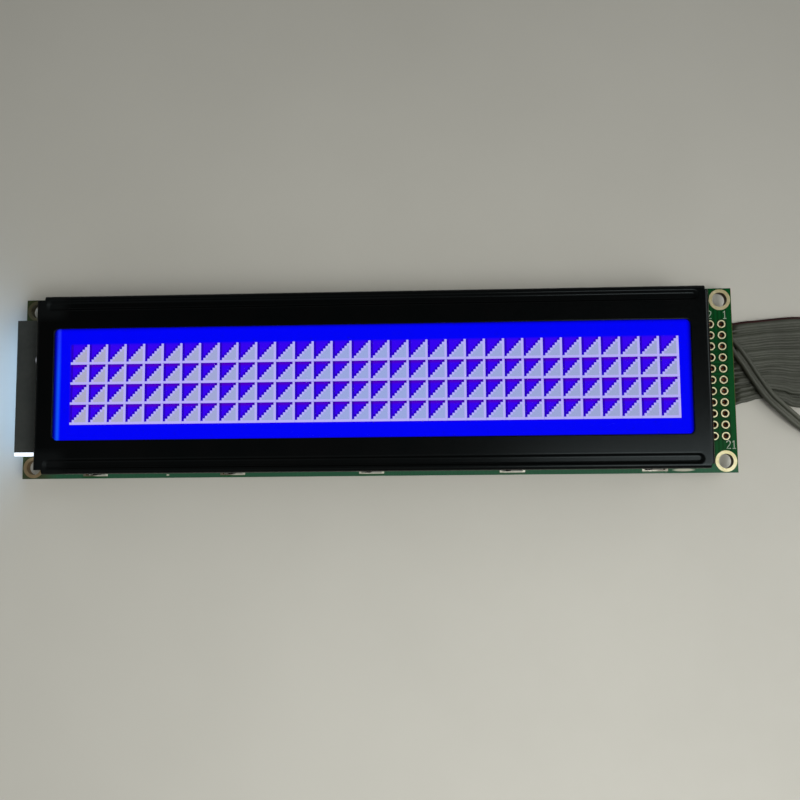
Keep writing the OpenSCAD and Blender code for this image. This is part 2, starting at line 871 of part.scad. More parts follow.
module backlight_lead() {
    color("gray")
        sweep(lead_route, flat_profile(lead_w, lead_t));
}

// The lead's two wires part at its end and bend round to their lands
module lead_tail(i) {
    last_straight = 0.4;
    along = heading(lead_route, 0);
    end = lead_route[0] + (i - 0.5) * ribbon_pitch * across(lead_route, 0);
    sweep([
        each [for (p = lead_tail_points[i]) lead_place(p)],
        end - last_straight * along,
        end
    ], round_profile(tail_d));
}

module lead_tails() {
    color("gray")
        for (i = [0, 1])
            lead_tail(i);
}

// Bare wire ends that lie under the lands
module lead_conductor(i) {
    translate(tail_start(i))
        rotate([0, -90, 0])
            cylinder(r = conductor_r, h = tail_start(i).x - lead_land_x + lead_land.x / 2);
}

module lead_conductors() {
    color("chocolate")
        for (i = [0, 1])
            lead_conductor(i);
}

module lead_lands() {
    color("goldenrod")
        for (i = [0, 1])
            translate([lead_land_x, tail_start(i).y, board_z - plating_t])
                block([lead_land.x, lead_land.y, plating_t]);
}

module lead_solder() {
    color("silver")
        for (i = [0, 1])
            difference() {
                translate([lead_land_x, tail_start(i).y, tail_start(i).z])
                    block([lead_land.x, 2 * conductor_r, board_z - plating_t - tail_start(i).z]);
                lead_conductor(i);
            }
}

// A crimp housing that lies on the table at the lead's end
module lead_housing() {
    size = lead_housing_size;
    color([0.1, 0.1, 0.11])
        translate([lead_end.x, lead_end.y, 0])
            difference() {
                translate([size.x / 2, 0, 0])
                    block(size);
                for (side = [-1, 1])
                    translate([size.x, side * header_pitch / 2, (size.z - lead_cavity) / 2])
                        block([2 * (size.x - lead_cavity_end), lead_cavity, lead_cavity]);
            }
}

module lead_contacts() {
    spring = [8, 0.6];
    floor_z = (lead_housing_size.z - lead_cavity) / 2;
    color("gold")
        for (side = [-1, 1])
            translate([lead_end.x + lead_cavity_end, lead_end.y + side * header_pitch / 2, floor_z])
                translate([spring.x / 2, 0, 0])
                    block([spring.x, spring.y, lead_cavity]);
}

circuit_board();
mounting_lands();
header_lands();
tab_lands();
bezel();
front_polarizer();
front_glass();
cell_seal();
dot_matrix();
rear_glass();
rear_polarizer();
zebra_strip(1);  // upper_zebra_strip
zebra_strip(-1);  // lower_zebra_strip
backlight_tray();
reflector_film();
light_guide();
diffuser_film();
lamp_strip();
lamps();
backlight_pins();
backlight_solder();
shading_tape();
for (i = [1:4])
    resin_drop(i - 1);
resin_drop(4);  // row_driver
bias_amplifier();
bias_amplifier_leads();
charge_pump();
charge_pump_leads();
chip_resistors();
chip_capacitors();
tantalum_capacitors();
chip_terminals();
ribbon_cable();
ribbon_tails();
tail_conductors();
header_solder();
ribbon_socket();
ribbon_socket_cap();
ribbon_socket_contacts();
backlight_lead();
lead_tails();
lead_conductors();
lead_lands();
lead_solder();
lead_housing();
lead_contacts();
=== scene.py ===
"""Looks of a dot-matrix liquid crystal display module that lies face up with its screen on.

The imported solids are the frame. This script gives every piece its finish, replaces the plain cord
solids by wires that show their ribs, fills the spare header holes with solder, prints the pin
numbers, and sets the floor, lamps and camera. Lengths are written in millimetres and turned to
metres by MM. Axes are the part's own: +X runs along the display, +Y up the display, +Z out of the
screen, z = 0 is the floor.
"""
import math

import bpy
from mathutils import Matrix, Vector, noise


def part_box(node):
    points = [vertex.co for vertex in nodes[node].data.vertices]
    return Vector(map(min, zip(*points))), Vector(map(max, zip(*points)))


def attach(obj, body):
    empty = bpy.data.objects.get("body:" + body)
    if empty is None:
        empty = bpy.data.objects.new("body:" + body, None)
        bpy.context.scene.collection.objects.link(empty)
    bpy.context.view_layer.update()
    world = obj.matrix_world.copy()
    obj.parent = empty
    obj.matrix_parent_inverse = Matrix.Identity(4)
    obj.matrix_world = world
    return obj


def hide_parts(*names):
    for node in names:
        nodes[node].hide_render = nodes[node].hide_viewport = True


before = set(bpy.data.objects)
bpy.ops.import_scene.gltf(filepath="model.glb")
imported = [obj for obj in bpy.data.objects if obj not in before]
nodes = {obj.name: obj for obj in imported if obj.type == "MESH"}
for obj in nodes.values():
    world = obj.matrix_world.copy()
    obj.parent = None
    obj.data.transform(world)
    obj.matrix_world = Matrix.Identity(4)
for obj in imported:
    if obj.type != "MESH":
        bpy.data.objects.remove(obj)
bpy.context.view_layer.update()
MM = 0.001


def box_mm(node):
    """Lowest and highest corner of a node, in millimetres."""
    low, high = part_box(node)
    return Vector(low) / MM, Vector(high) / MM


# Sizes that the pieces below share, taken from the frame
board_low, board_high = box_mm("circuit_board")
bezel_low, bezel_high = box_mm("bezel")
matrix_low, matrix_high = box_mm("dot_matrix")
film_low, film_high = box_mm("front_polarizer")
tape_high = box_mm("shading_tape")[1]

# Dots: gap between two of them, dots along a cell's side, cells along and up the display
DOT_GAP = 0.04
CELL_DOTS = 8
CELLS_X = 32
CELLS_Y = 4
# Header: distance between holes, rows, distance of the first column from the board's edge
HEADER_PITCH = 2.54
HEADER_ROWS = 11
HEADER_INSET = 2.4
header_x = board_high.x - HEADER_INSET


def header_y(row):
    """Place along Y of a row of the header, counted from the top."""
    return ((HEADER_ROWS - 1) / 2 - row) * HEADER_PITCH


# Camera, above the module and a little below its middle. The turn is in degrees.
CAMERA_PLACE = (12.85, -18.81, 186.0)
CAMERA_TARGET = (6.31, -4.42, 12.8)
CAMERA_TURN = -0.73
CAMERA_LENS = 36.0
CAMERA_SENSOR = 36.0
CAMERA_NEAR = 10.0


def place_camera():
    """A camera that looks at its target, turned a little about the view line."""
    lens = bpy.data.cameras.new("camera")
    lens.sensor_width = CAMERA_SENSOR
    lens.lens = CAMERA_LENS
    lens.clip_start = CAMERA_NEAR * MM
    camera = bpy.data.objects.new("camera", lens)
    bpy.context.scene.collection.objects.link(camera)
    place = Vector(CAMERA_PLACE) * MM
    back = (place - Vector(CAMERA_TARGET) * MM).normalized()
    turn = math.radians(CAMERA_TURN)
    right = Vector((math.cos(turn), math.sin(turn), 0))
    right = (right - right.dot(back) * back).normalized()
    up = back.cross(right)
    axes = Matrix((right, up, back)).transposed()
    camera.matrix_world = Matrix.Translation(place) @ axes.to_4x4()
    bpy.context.scene.camera = camera


place_camera()


# Materials: helpers

# Part of a noise's range over which a finish goes from one end to the other
PATCH_RANGE = (0.35, 0.65)
GRAIN_RANGE = (0.3, 0.7)
# Part of a face's normal at which it starts to count as facing a way, and fully does
FACING = (0.4, 0.6)
# A wave texture of scale 1 repeats at this length
WAVE_PERIOD = math.tau / 20


def linear(code):
    """A colour written as an sRGB hex code, as linear red, green, blue and alpha."""
    shares = [int(code[i:i + 2], 16) / 255 for i in (1, 3, 5)]
    return [s / 12.92 if s <= 0.04045 else ((s + 0.055) / 1.055) ** 2.4 for s in shares] + [1.0]


def add(tree, kind, inputs=None, **settings):
    """Adds a node with its settings.

    Inputs are numbers, colours, sockets, or nodes for their first output. A MapRange takes its
    value at 0, the range that it reads at 1 and 2, and the range that it gives at 3 and 4. A Mix
    takes its share at 0, and its numbers at 2 and 3 or its colours at 6 and 7.
    """
    made = tree.nodes.new("ShaderNode" + kind)
    for name, value in settings.items():
        setattr(made, name, value)
    for socket, value in (inputs or {}).items():
        if isinstance(value, bpy.types.Node):
            value = value.outputs[0]
        if isinstance(value, bpy.types.NodeSocket):
            tree.links.new(value, made.inputs[socket])
        else:
            made.inputs[socket].default_value = value
    return made


def coat(tree, under, over, value, start=0.0, end=1.0, full=1.0):
    """Lays a colour over another one: none at the start value, its full share at the end."""
    share = add(tree, "MapRange", {0: value, 1: start, 2: end, 4: full})
    return add(tree, "Mix", {0: share, 6: under, 7: over}, data_type="RGBA").outputs[2]


def start_material(name, colour, roughness, **constants):
    """A material with one shader. Returns it with its tree, shader and place in millimetres."""
    material = bpy.data.materials.new(name)
    material.use_nodes = True
    tree = material.node_tree
    shader = tree.nodes["Principled BSDF"]
    shader.inputs["Base Color"].default_value = linear(colour)
    shader.inputs["Roughness"].default_value = roughness
    for socket, value in constants.items():
        shader.inputs[socket.replace("_", " ")].default_value = value
    coordinates = add(tree, "TexCoord").outputs["Object"]
    place = add(tree, "VectorMath", {0: coordinates, "Scale": 1 / MM}, operation="SCALE")
    return material, tree, shader, place


def weathered(name, colours, roughness, patch, grain, relief, **constants):
    """A finish that drifts between two colours over patches and has a fine grain, sizes in mm.

    Roughness goes from its low value to its high one with the grain, and relief is the grain's
    depth. Returns what start_material returns.
    """
    material, tree, shader, place = start_material(name, colours[0], roughness[0], **constants)
    drift = add(tree, "TexNoise", {"Vector": place, "Scale": 1 / patch, "Detail": 3.0})
    fine = add(tree, "TexNoise", {"Vector": place, "Scale": 1 / grain, "Detail": 2.0})
    shade = coat(tree, linear(colours[0]), linear(colours[1]), drift, *PATCH_RANGE)
    gloss = add(tree, "MapRange", {
        0: fine, 1: GRAIN_RANGE[0], 2: GRAIN_RANGE[1], 3: roughness[0], 4: roughness[1]})
    bump = add(tree, "Bump", {"Height": fine, "Distance": relief * MM, "Strength": 1.0})
    tree.links.new(shade, shader.inputs["Base Color"])
    tree.links.new(gloss.outputs[0], shader.inputs["Roughness"])
    tree.links.new(bump.outputs[0], shader.inputs["Normal"])
    return material, tree, shader, place


def fed(shader, socket):
    """The output that feeds a socket of a finish's shader."""
    return shader.inputs[socket].links[0].from_socket


def facing(tree, axis):
    """The part of a face's normal that lies along an axis."""
    return add(tree, "SeparateXYZ", {0: add(tree, "NewGeometry").outputs["Normal"]}).outputs[axis]


def spot_reach(tree, place, middle, half):
    """Distance from the middle of an oval spot, as a share of its half sizes along X, Y and Z."""
    away = add(tree, "VectorMath", {0: place, 1: middle}, operation="SUBTRACT")
    away = add(tree, "VectorMath", {0: away, 1: [1 / h for h in half]}, operation="MULTIPLY")
    return add(tree, "VectorMath", {0: away}, operation="LENGTH").outputs["Value"]


def dress(material, *names):
    """Gives CAD nodes a material."""
    for name in names:
        mesh = nodes[name].data
        mesh.materials.clear()
        mesh.materials.append(material)


# Meshes: helpers

# A heading with less than this part of it level counts as upright
STEEP = 0.2


def along(route, step):
    """A smooth curve through given points, cut into short even steps."""
    points = [Vector(p) for p in route]
    ends = [2 * points[0] - points[1], *points, 2 * points[-1] - points[-2]]
    curve = []
    for i in range(1, len(ends) - 2):
        a, b, c, d = ends[i - 1:i + 3]
        count = max(1, round((c - b).length / step))
        for k in range(count):
            t = k / count
            curve.append(0.5 * (2 * b + (c - a) * t + (2 * a - 5 * b + 4 * c - d) * t ** 2
                                + (3 * b - a - 3 * c + d) * t ** 3))
    return curve + [points[-1]]


def heading_at(route, i):
    """Direction of a route at one of its points."""
    return (route[min(i + 1, len(route) - 1)] - route[max(i - 1, 0)]).normalized()


def sweep(shape, route, radii, around):
    """Adds a closed round tube along a route to a shape, which is (vertices, faces, face paints).

    The list around holds the paint of each flat round the tube, from its right-hand side over the
    top.
    """
    vertices, faces, paints = shape
    first = len(vertices)
    sides = len(around)
    for i, point in enumerate(route):
        heading = heading_at(route, i)
        side = heading.cross(Vector((0, 0, 1)))
        side = side.normalized() if side.length > STEEP else Vector((0, 1, 0))
        up = side.cross(heading).normalized()
        for k in range(sides):
            angle = math.tau * k / sides
            vertices.append(point + radii[i] * (math.cos(angle) * side + math.sin(angle) * up))
    for i in range(len(route) - 1):
        for k in range(sides):
            a = first + i * sides + k
            b = first + i * sides + (k + 1) % sides
            faces.append((a, a + sides, b + sides, b))
            paints.append(around[k])
    last = first + (len(route) - 1) * sides
    faces.append(tuple(range(first, first + sides)))
    faces.append(tuple(range(last + sides - 1, last - 1, -1)))
    paints.extend([around[0]] * 2)


def strip(shape, left, right, thickness):
    """Adds a thin closed web between two routes of the same length."""
    vertices, faces, paints = shape
    first = len(vertices)
    half = Vector((0, 0, thickness / 2))
    for a, b in zip(left, right):
        vertices.extend([a - half, b - half, b + half, a + half])
    for i in range(len(left) - 1):
        for k in range(4):
            a = first + 4 * i + k
            b = first + 4 * i + (k + 1) % 4
            faces.append((a, b, b + 4, a + 4))
    last = first + 4 * (len(left) - 1)
    faces.append((first + 3, first + 2, first + 1, first))
    faces.append((last, last + 1, last + 2, last + 3))
    paints.extend([0] * (len(faces) - len(paints)))


def make_piece(name, shape, materials, smooth=True):
    """A mesh object that rides on the part, from vertices in millimetres."""
    vertices, faces, paints = shape
    mesh = bpy.data.meshes.new(name)
    mesh.from_pydata([v * MM for v in vertices], [], faces)
    for material in materials:
        mesh.materials.append(material)
    for face, paint in zip(mesh.polygons, paints):
        face.material_index = paint
        face.use_smooth = smooth and len(face.vertices) == 4
    mesh.update()
    piece = bpy.data.objects.new(name, mesh)
    bpy.context.scene.collection.objects.link(piece)
    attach(piece, "root")
    return piece


def between(table, x):
    """Value at x on a smooth line through given (x, value) pairs."""
    if x <= table[0][0]:
        return table[0][1]
    for (x0, y0), (x1, y1) in zip(table, table[1:]):
        if x <= x1:
            t = (x - x0) / (x1 - x0)
            return y0 + (y1 - y0) * t * t * (3 - 2 * t)
    return table[-1][1]


# Cords: materials

# Plasticised PVC insulation, extruded: a soft dull skin, grey with a faint drift of shade
grey_pvc = weathered("grey_pvc_insulation", ("#34372D", "#404439"), (0.5, 0.65),
                     6.0, 0.35, 0.01)[0]
# The same PVC with a red tracer colour on the first wire, dark and dull
red_pvc = weathered("red_pvc_insulation", ("#240607", "#2E0A0A"), (0.5, 0.65),
                    5.0, 0.35, 0.01, Specular_IOR_Level=0.2)[0]
# Painted shade on the backlight lead near the board: the distances from the board between which it
# fades, its share
LEAD_SHADE_NEAR = 5.0
LEAD_SHADE_FAR = 15.0
LEAD_SHADE_SHARE = 0.6


def make_lead_pvc():
    """The backlight lead's PVC: more olive than the ribbon's, and darker near the board with
    painted shade.
    """
    material, tree, shader, place = weathered(
        "olive_grey_pvc_insulation", ("#42453A", "#4C4F43"), (0.48, 0.62), 5.0, 0.35, 0.01)
    x = add(tree, "SeparateXYZ", {0: place}).outputs["X"]
    # The darker colour near the board is painted shade
    skin = coat(tree, fed(shader, "Base Color"), linear("#20231A"), x,
                board_high.x + LEAD_SHADE_FAR, board_high.x + LEAD_SHADE_NEAR, LEAD_SHADE_SHARE)
    tree.links.new(skin, shader.inputs["Base Color"])
    return material


olive_pvc = make_lead_pvc()

# Cords: ribbon cable

# Ribbon: wires, spacing, middle along Y, height, rise to the socket, radius of a rib
RIBBON_WIRES = 16
RIBBON_PITCH = 1.27
RIBBON_MIDDLE = 3.175
RIBBON_Z = 0.5
RIBBON_RISE = 3.35
RIBBON_RIB_R = 0.53
# Route: distance from the board's edge, sideways drift, share of the rise to the socket
RIBBON_ROUTE = [
    (-0.5, 0, 0), (2.5, 0, 0), (5.5, 0.1, 0), (8.5, 0.2, 0), (12.5, 0.4, 0), (16.5, 0.6, 0),
    (22.5, 0.8, 0), (30, 1, 0), (38, 1, 0), (48, 1, 0), (58, 1, 0), (68, 1, 0), (78, 1, 0.06),
    (86, 1, 0.2), (94, 1, 0.45), (102, 1, 0.75), (108, 1, 0.93), (112, 1, 1), (115, 1, 1),
    (121, 1, 1)]
RIBBON_STEP = 1.2
# How far the ribbon's two edges stray from that route: distance from the board's edge, stray
UPPER_STRAY = [(0, 0.05), (5, 0.5), (10, 0.88), (14.4, 0.88), (20, 0.6), (26, 0.2), (32, 0)]
LOWER_STRAY = [(0, 1.0), (3, 1.8), (6.3, 2.5), (8.6, 2.7), (11.6, 1.9), (14.4, 0.5), (18, 0),
               (24, 0)]
# The wires lie loosest at this distance from the board's edge, and less so within the reach
LOOSE_MIDDLE = 8.0
LOOSE_REACH = 16.0
# How far a loose wire wanders sideways and lifts, with the noise's steps for each mm and wire
WANDER = 0.22
WANDER_STEPS = (0.16, 3.7, 0.0)
LIFT = 0.25
LIFT_STEPS = (0.2, 5.1, 9.0)
# The single wire from a hole to its rib: distance from the hole, share of the way, height
TAIL_ROUTE = [(0, 0, 1.45), (0, 0, 1.25), (0.2, 0, 0.7), (0.7, 1 / 3, 0.5), (1.6, 1, 0.5)]
TAIL_STEP = 0.4
TAIL_R = 0.44
# The ribbon is slit after this wire over this stretch
SLIT_WIRE = 13
SLIT_STRETCH = (6.0, 24.0)
# How far the slit gapes: distance from the board's edge, width
SLIT_GAPE = [(6, 0), (10, 0.2), (15, 0.35), (19, 0.3), (24, 0)]
# A sheet at the slit's foot, put in as painted shade for the gap: depth below the wires' middle,
# thickness, lap past the slit
SLIT_SHADE_SINK = 0.42
SLIT_SHADE_T = 0.12
SLIT_SHADE_LAP = 1.5
# Where the webs start, at the upper and at the lower wires, and how unevenly
WEB_START = -0.2
WEB_START_LOW = 0.5
WEB_START_UNEVEN = 0.8
WEB_START_STEPS = (2.3, 4.0)
WEB_T = 1.04
# Wires with a deeper groove after them, and the web's thickness there
GROOVE_WIRES = (1, 3, 4, 6, 8, 9, 11)
GROOVE_WEB_T = 0.64
# Paint of each flat round a wire: grey all round, or red over the top
RIB_SIDES = 12
PLAIN = [0] * RIB_SIDES
TRACER = [0] + [1] * 7 + [0] * 4


def waver(x, wire, steps):
    """Noise that runs along a wire and differs from one wire to the next."""
    rate, apart, start = steps
    return noise.noise(Vector((x * rate, wire * apart, start)))


def rib_point(wire, middle):
    """Where one wire of the ribbon lies beside a point of the ribbon's middle line."""
    x = middle.x - board_high.x
    share = wire / (RIBBON_WIRES - 1)
    stray = (1 - share) * between(UPPER_STRAY, x) + share ** 2 * between(LOWER_STRAY, x)
    loose = max(0.0, 1 - abs(x - LOOSE_MIDDLE) / LOOSE_REACH)
    wander = WANDER * loose * waver(x, wire, WANDER_STEPS)
    lift = LIFT * loose * (0.5 + waver(x, wire, LIFT_STEPS))
    gape = between(SLIT_GAPE, x) if wire > SLIT_WIRE else 0.0
    y = middle.y + ((RIBBON_WIRES - 1) / 2 - wire) * RIBBON_PITCH + stray + wander - gape
    return Vector((middle.x, y, middle.z + lift + RIBBON_RIB_R - TAIL_R))


def add_webs(shape, ribs, places):
    """Joins the ribs by thin webs. The slit has only a sheet at its foot, put there as painted
    shade in the gap.

    The list places holds each point's distance from the board's edge.
    """
    slit_start, slit_end = SLIT_STRETCH
    for wire in range(RIBBON_WIRES - 1):
        start = WEB_START + (WEB_START_LOW - WEB_START) * (wire / RIBBON_WIRES) ** 2
        apart, row = WEB_START_STEPS
        start += WEB_START_UNEVEN * noise.noise(Vector((wire * apart, row, 0.0)))
        spans = [[]]
        for i, x in enumerate(places):
            if wire == SLIT_WIRE and slit_start < x < slit_end:
                spans.append([])
            elif x >= start:
                spans[-1].append(i)
        for span in spans:
            if len(span) > 1:
                strip(shape, [ribs[wire][i] for i in span], [ribs[wire + 1][i] for i in span],
                      GROOVE_WEB_T if wire in GROOVE_WIRES else WEB_T)
    # A sheet under the slit that stands in for the shade in the gap
    sink = Vector((0, 0, SLIT_SHADE_SINK))
    slit_sheet_span = [i for i, x in enumerate(places)
            if slit_start - SLIT_SHADE_LAP < x < slit_end + SLIT_SHADE_LAP]
    strip(shape, [ribs[SLIT_WIRE][i] - sink for i in slit_sheet_span],
          [ribs[SLIT_WIRE + 1][i] - sink for i in slit_sheet_span], SLIT_SHADE_T)


def make_ribbon():
    """Sixteen ribs joined by webs, each rib running on as a single wire to its header hole."""
    middle = along([(board_high.x + x, RIBBON_MIDDLE + y, RIBBON_Z + k * RIBBON_RISE)
                    for x, y, k in RIBBON_ROUTE], RIBBON_STEP)
    ribs = [[rib_point(wire, p) for p in middle] for wire in range(RIBBON_WIRES)]
    shape = ([], [], [])
    for wire, rib in enumerate(ribs):
        hole_x = header_x - (wire % 2) * HEADER_PITCH
        hole_y = header_y(wire // 2)
        tail = along([(hole_x + x, hole_y + share * (rib[0].y - hole_y), z)
                      for x, share, z in TAIL_ROUTE], TAIL_STEP)
        radii = [TAIL_R] * len(tail) + [RIBBON_RIB_R] * len(rib)
        sweep(shape, tail + rib, radii, TRACER if wire == 0 else PLAIN)
    add_webs(shape, ribs, [p.x - board_high.x for p in middle])
    piece = make_piece("ribbon_wires", shape, [grey_pvc, red_pvc])
    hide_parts("ribbon_cable", "ribbon_tails")


make_ribbon()

# Cords: backlight lead

# Lead: place along Y where its route counts from, height, rise, wires' radius and spacing, web
LEAD_TOP = 12.7
LEAD_Z = 0.66
LEAD_RISE = 1.25
LEAD_R = 0.57
LEAD_SPACING = 1.58
LEAD_WEB_T = 0.24
# Route: distance from the board's edge, distance from LEAD_TOP, share of the rise over the ribbon
LEAD_ROUTE = [
    (1.4, -5.6, 1), (1.9, -6.4, 1), (3.3, -8.7, 1), (5, -11.7, 1), (6.9, -14.9, 1),
    (8.6, -17.3, 1), (10.5, -19.4, 1), (12.6, -21.4, 0.9), (14.9, -23.3, 0.5),
    (17.6, -25.1, 0.15), (20.6, -26.7, 0), (24.6, -28, 0), (30, -29, 0), (37, -29.6, 0),
    (45, -29.8, 0), (54, -29.8, 0), (64, -29.8, 0.1), (74, -29.8, 0.5), (80, -29.8, 0.8),
    (84, -29.8, 0.8)]
LEAD_STEP = 1.0
# How far the lead strays from that route: distance from the board's edge, stray
LEAD_STRAY = [(1, 0), (4, 0.3), (8, 0.6), (12, 0.9), (20, 0.9), (26, 0.3), (32, 0)]
# The two single wires from their lands under the board to the lead, the lower one first
LEAD_TAILS = [
    [(-0.55, -4.3), (-0.2, -4.3), (0.1, -4.45), (0.3, -4.8)],
    [(-0.55, -2.9), (0, -2.9), (0.5, -3.05), (0.95, -3.5)]]
LEAD_TAIL_RISE = 0.75
LEAD_TAIL_STEP = 0.3


def lead_point(x, y, rise):
    """A point of the lead's route in the part's frame."""
    return Vector((board_high.x + x, LEAD_TOP + y + between(LEAD_STRAY, x),
                   LEAD_Z + rise * LEAD_RISE))


def make_lead():
    """Two insulated wires side by side, joined by a web, that part at the board."""
    middle = along([lead_point(*p) for p in LEAD_ROUTE], LEAD_STEP)
    shape = ([], [], [])
    strands = [[], []]
    for i, point in enumerate(middle):
        across = heading_at(middle, i).cross(Vector((0, 0, 1))).normalized()
        for strand, side in zip(strands, (-1, 1)):
            strand.append(point - side * across * LEAD_SPACING / 2)
    for strand, tail in zip(strands, LEAD_TAILS):
        lead_in = along([lead_point(x, y, LEAD_TAIL_RISE) for x, y in tail], LEAD_TAIL_STEP)[:-1]
        radii = [TAIL_R] * len(lead_in) + [LEAD_R] * len(strand)
        sweep(shape, lead_in + strand, radii, PLAIN)
    strip(shape, strands[0], strands[1], LEAD_WEB_T)
    piece = make_piece("lead_wires", shape, [olive_pvc])
    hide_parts("backlight_lead", "lead_tails")


make_lead()

# Circuit board

# Copper tracks under the mask: spacing, size of a patch of them, their height under the film
TRACK_PITCH = 0.9
TRACK_PATCH = 14.0
TRACK_T = 0.012
# Levels of the stripes and of the patches between which copper starts
TRACK_EDGE = (0.45, 0.6)
PATCH_EDGE = (0.42, 0.5)
# They turn across the board at this distance from its middle line
TRACK_TURN = (8.4, 8.6)
# Where the solid copper beyond the header starts, from the header's first column
POUR_START = (1.15, 1.3)
# Flux round the header holes: where it ends and where it is full, its share, its edge's width
FLUX_REACH = (1.4, 1.0)
FLUX_SHARE = 0.65
FLUX_EDGE = 0.1
# A painted sheen makes the mask paler along the lower edge: distances from the edge, share
SHEEN_EDGE = (3.0, 1.2)
SHEEN_SHARE = 0.6
# Painted shade darkens it from just inside the bezel's end beside the lamps: reach, share
END_SHADE_REACH = 2.0
END_SHADE_SHARE = 0.85
# Tin smeared on the mask near the lower edge: middle, half sizes
TIN_SMEARS = [((69.4, -20.2), (2.5, 0.32)), ((-47.5, -20.25), (0.36, 0.2))]
SMEAR_T = 0.01
SMEAR_EDGE = (1.1, 0.7)
# The mask stops this far from the board's header end
MASK_STOP = 0.1
# Size of the glass weave that shows in the sawn edges, roughness of the edges and of the mask
WEAVE = 0.5
SAWN_ROUGHNESS = 0.75
MASK_ROUGHNESS = 0.35


def header_reach(tree, place):
    """Distance in millimetres to the nearest place of the header's grid of holes."""
    x, y, _ = add(tree, "SeparateXYZ", {0: place}).outputs
    half = HEADER_PITCH / 2
    aside = []
    for value, start in ((x, header_x), (y, 0.0)):
        away = add(tree, "Math", {0: value, 1: start}, operation="SUBTRACT")
        aside.append(add(tree, "Math", {0: away, 1: half, 2: -half}, operation="WRAP"))
    flat = add(tree, "CombineXYZ", {0: aside[0], 1: aside[1]})
    return add(tree, "VectorMath", {0: flat}, operation="LENGTH").outputs["Value"]


def copper_tracks(tree, place, x, aside):
    """Share of copper under the mask: tracks in patches, and a solid pour beyond the header."""
    runs = []
    for direction in ("Y", "X"):
        runs.append(add(tree, "TexWave", {
            "Vector": place, "Scale": WAVE_PERIOD / TRACK_PITCH, "Distortion": 0.0},
            bands_direction=direction))
    outer = add(tree, "MapRange", {0: aside, 1: TRACK_TURN[0], 2: TRACK_TURN[1]})
    zone = add(tree, "Mix", {0: outer, 2: runs[0].outputs["Fac"], 3: runs[1].outputs["Fac"]})
    track = add(tree, "MapRange", {0: zone, 1: TRACK_EDGE[0], 2: TRACK_EDGE[1]})
    patches = add(tree, "TexNoise", {"Vector": place, "Scale": 1 / TRACK_PATCH, "Detail": 1.0})
    patch = add(tree, "MapRange", {0: patches, 1: PATCH_EDGE[0], 2: PATCH_EDGE[1]})
    routed = add(tree, "Math", {0: track, 1: patch}, operation="MULTIPLY")
    pour = add(tree, "MapRange", {0: x, 1: header_x + POUR_START[0], 2: header_x + POUR_START[1]})
    return add(tree, "Math", {0: routed, 1: pour}, operation="MAXIMUM")


def make_solder_mask():
    """Green solder mask over copper tracks on glass-epoxy laminate.

    The film is dark green, a little lighter where copper lies under it, browned by flux round the
    header holes, darkened by painted shade at the lamps' end, and paler with a painted sheen along
    the lower edge, where tin is smeared on it. The sawn edges show the bare tan laminate.
    """
    material, tree, shader, place = start_material(
        "green_solder_mask_on_laminate", "#045A26", MASK_ROUGHNESS, Specular_IOR_Level=0.05)
    x, y, _ = add(tree, "SeparateXYZ", {0: place}).outputs
    upward = facing(tree, "Z")
    aside = add(tree, "Math", {0: y}, operation="ABSOLUTE")
    copper = copper_tracks(tree, place, x, aside)
    film = coat(tree, linear("#013C17"), linear("#024A1F"), copper)
    flux = add(tree, "MapRange", {
        0: header_reach(tree, place), 1: FLUX_REACH[0], 2: FLUX_REACH[1], 4: FLUX_SHARE})
    for value, limit in ((aside, HEADER_ROWS * HEADER_PITCH / 2),
                         (x, header_x + HEADER_PITCH / 2)):
        within = add(tree, "MapRange", {0: value, 1: limit, 2: limit - FLUX_EDGE})
        flux = add(tree, "Math", {0: flux, 1: within}, operation="MULTIPLY")
    film = coat(tree, film, linear("#0E2410"), flux)
    # Painted sheen along the lower edge
    film = coat(tree, film, linear("#3C6A54"), y, board_low.y + SHEEN_EDGE[0],
                board_low.y + SHEEN_EDGE[1], SHEEN_SHARE)
    # Painted shade at the lamps' end
    lamp_end = add(tree, "MapRange", {
        0: x, 1: bezel_low.x + END_SHADE_REACH, 2: bezel_low.x - END_SHADE_REACH, 4: END_SHADE_SHARE})
    front = add(tree, "MapRange", {0: upward, 1: FACING[0], 2: FACING[1]})
    end_shade = add(tree, "Math", {0: lamp_end, 1: front}, operation="MULTIPLY")
    film = coat(tree, film, linear("#3A3D28"), end_shade)
    for middle, half in TIN_SMEARS:
        reach = spot_reach(tree, place, (*middle, board_high.z), (*half, SMEAR_T))
        film = coat(tree, film, linear("#C4C6B4"), reach, *SMEAR_EDGE)
    weave = add(tree, "TexNoise", {"Vector": place, "Scale": 1 / WEAVE, "Detail": 2.0})
    edge = coat(tree, linear("#665834"), linear("#867748"), weave)
    level = add(tree, "Math", {0: upward}, operation="ABSOLUTE")
    face = add(tree, "MapRange", {0: level, 1: FACING[0], 2: FACING[1]})
    masked = add(tree, "MapRange", {0: x, 1: board_high.x, 2: board_high.x - MASK_STOP})
    film_share = add(tree, "Math", {0: face, 1: masked}, operation="MULTIPLY")
    colour = coat(tree, edge, film, film_share)
    gloss = add(tree, "MapRange", {0: face, 3: SAWN_ROUGHNESS, 4: MASK_ROUGHNESS})
    bump = add(tree, "Bump", {"Height": copper, "Distance": TRACK_T * MM, "Strength": 1.0})
    tree.links.new(colour, shader.inputs["Base Color"])
    tree.links.new(gloss.outputs[0], shader.inputs["Roughness"])
    tree.links.new(bump.outputs[0], shader.inputs["Normal"])
    return material


# Painted shade of the bezel darkens the mounting lands from right to left: places along X, full
# share
LAMP_END_SHADE = (20.0, -40.0, 0.9)
# The painted shade is darker, and the gold is browner, towards the upper ones: places along Y,
# share
UPPER_SHADE = (-5.0, 5.0)
UPPER_BROWN = (0.0, 10.0, 0.45)
# Distances from a header hole's middle: where flux browns the gold, and where it does so fully
BROWNED = (0.72, 0.58)


def gold_flash(name, colours):
    """Gold flash over nickel-plated copper: pale yellow metal, a little dulled by handling."""
    return weathered(name, colours, (0.42, 0.55), 1.5, 0.3, 0.006, Metallic=0.6)


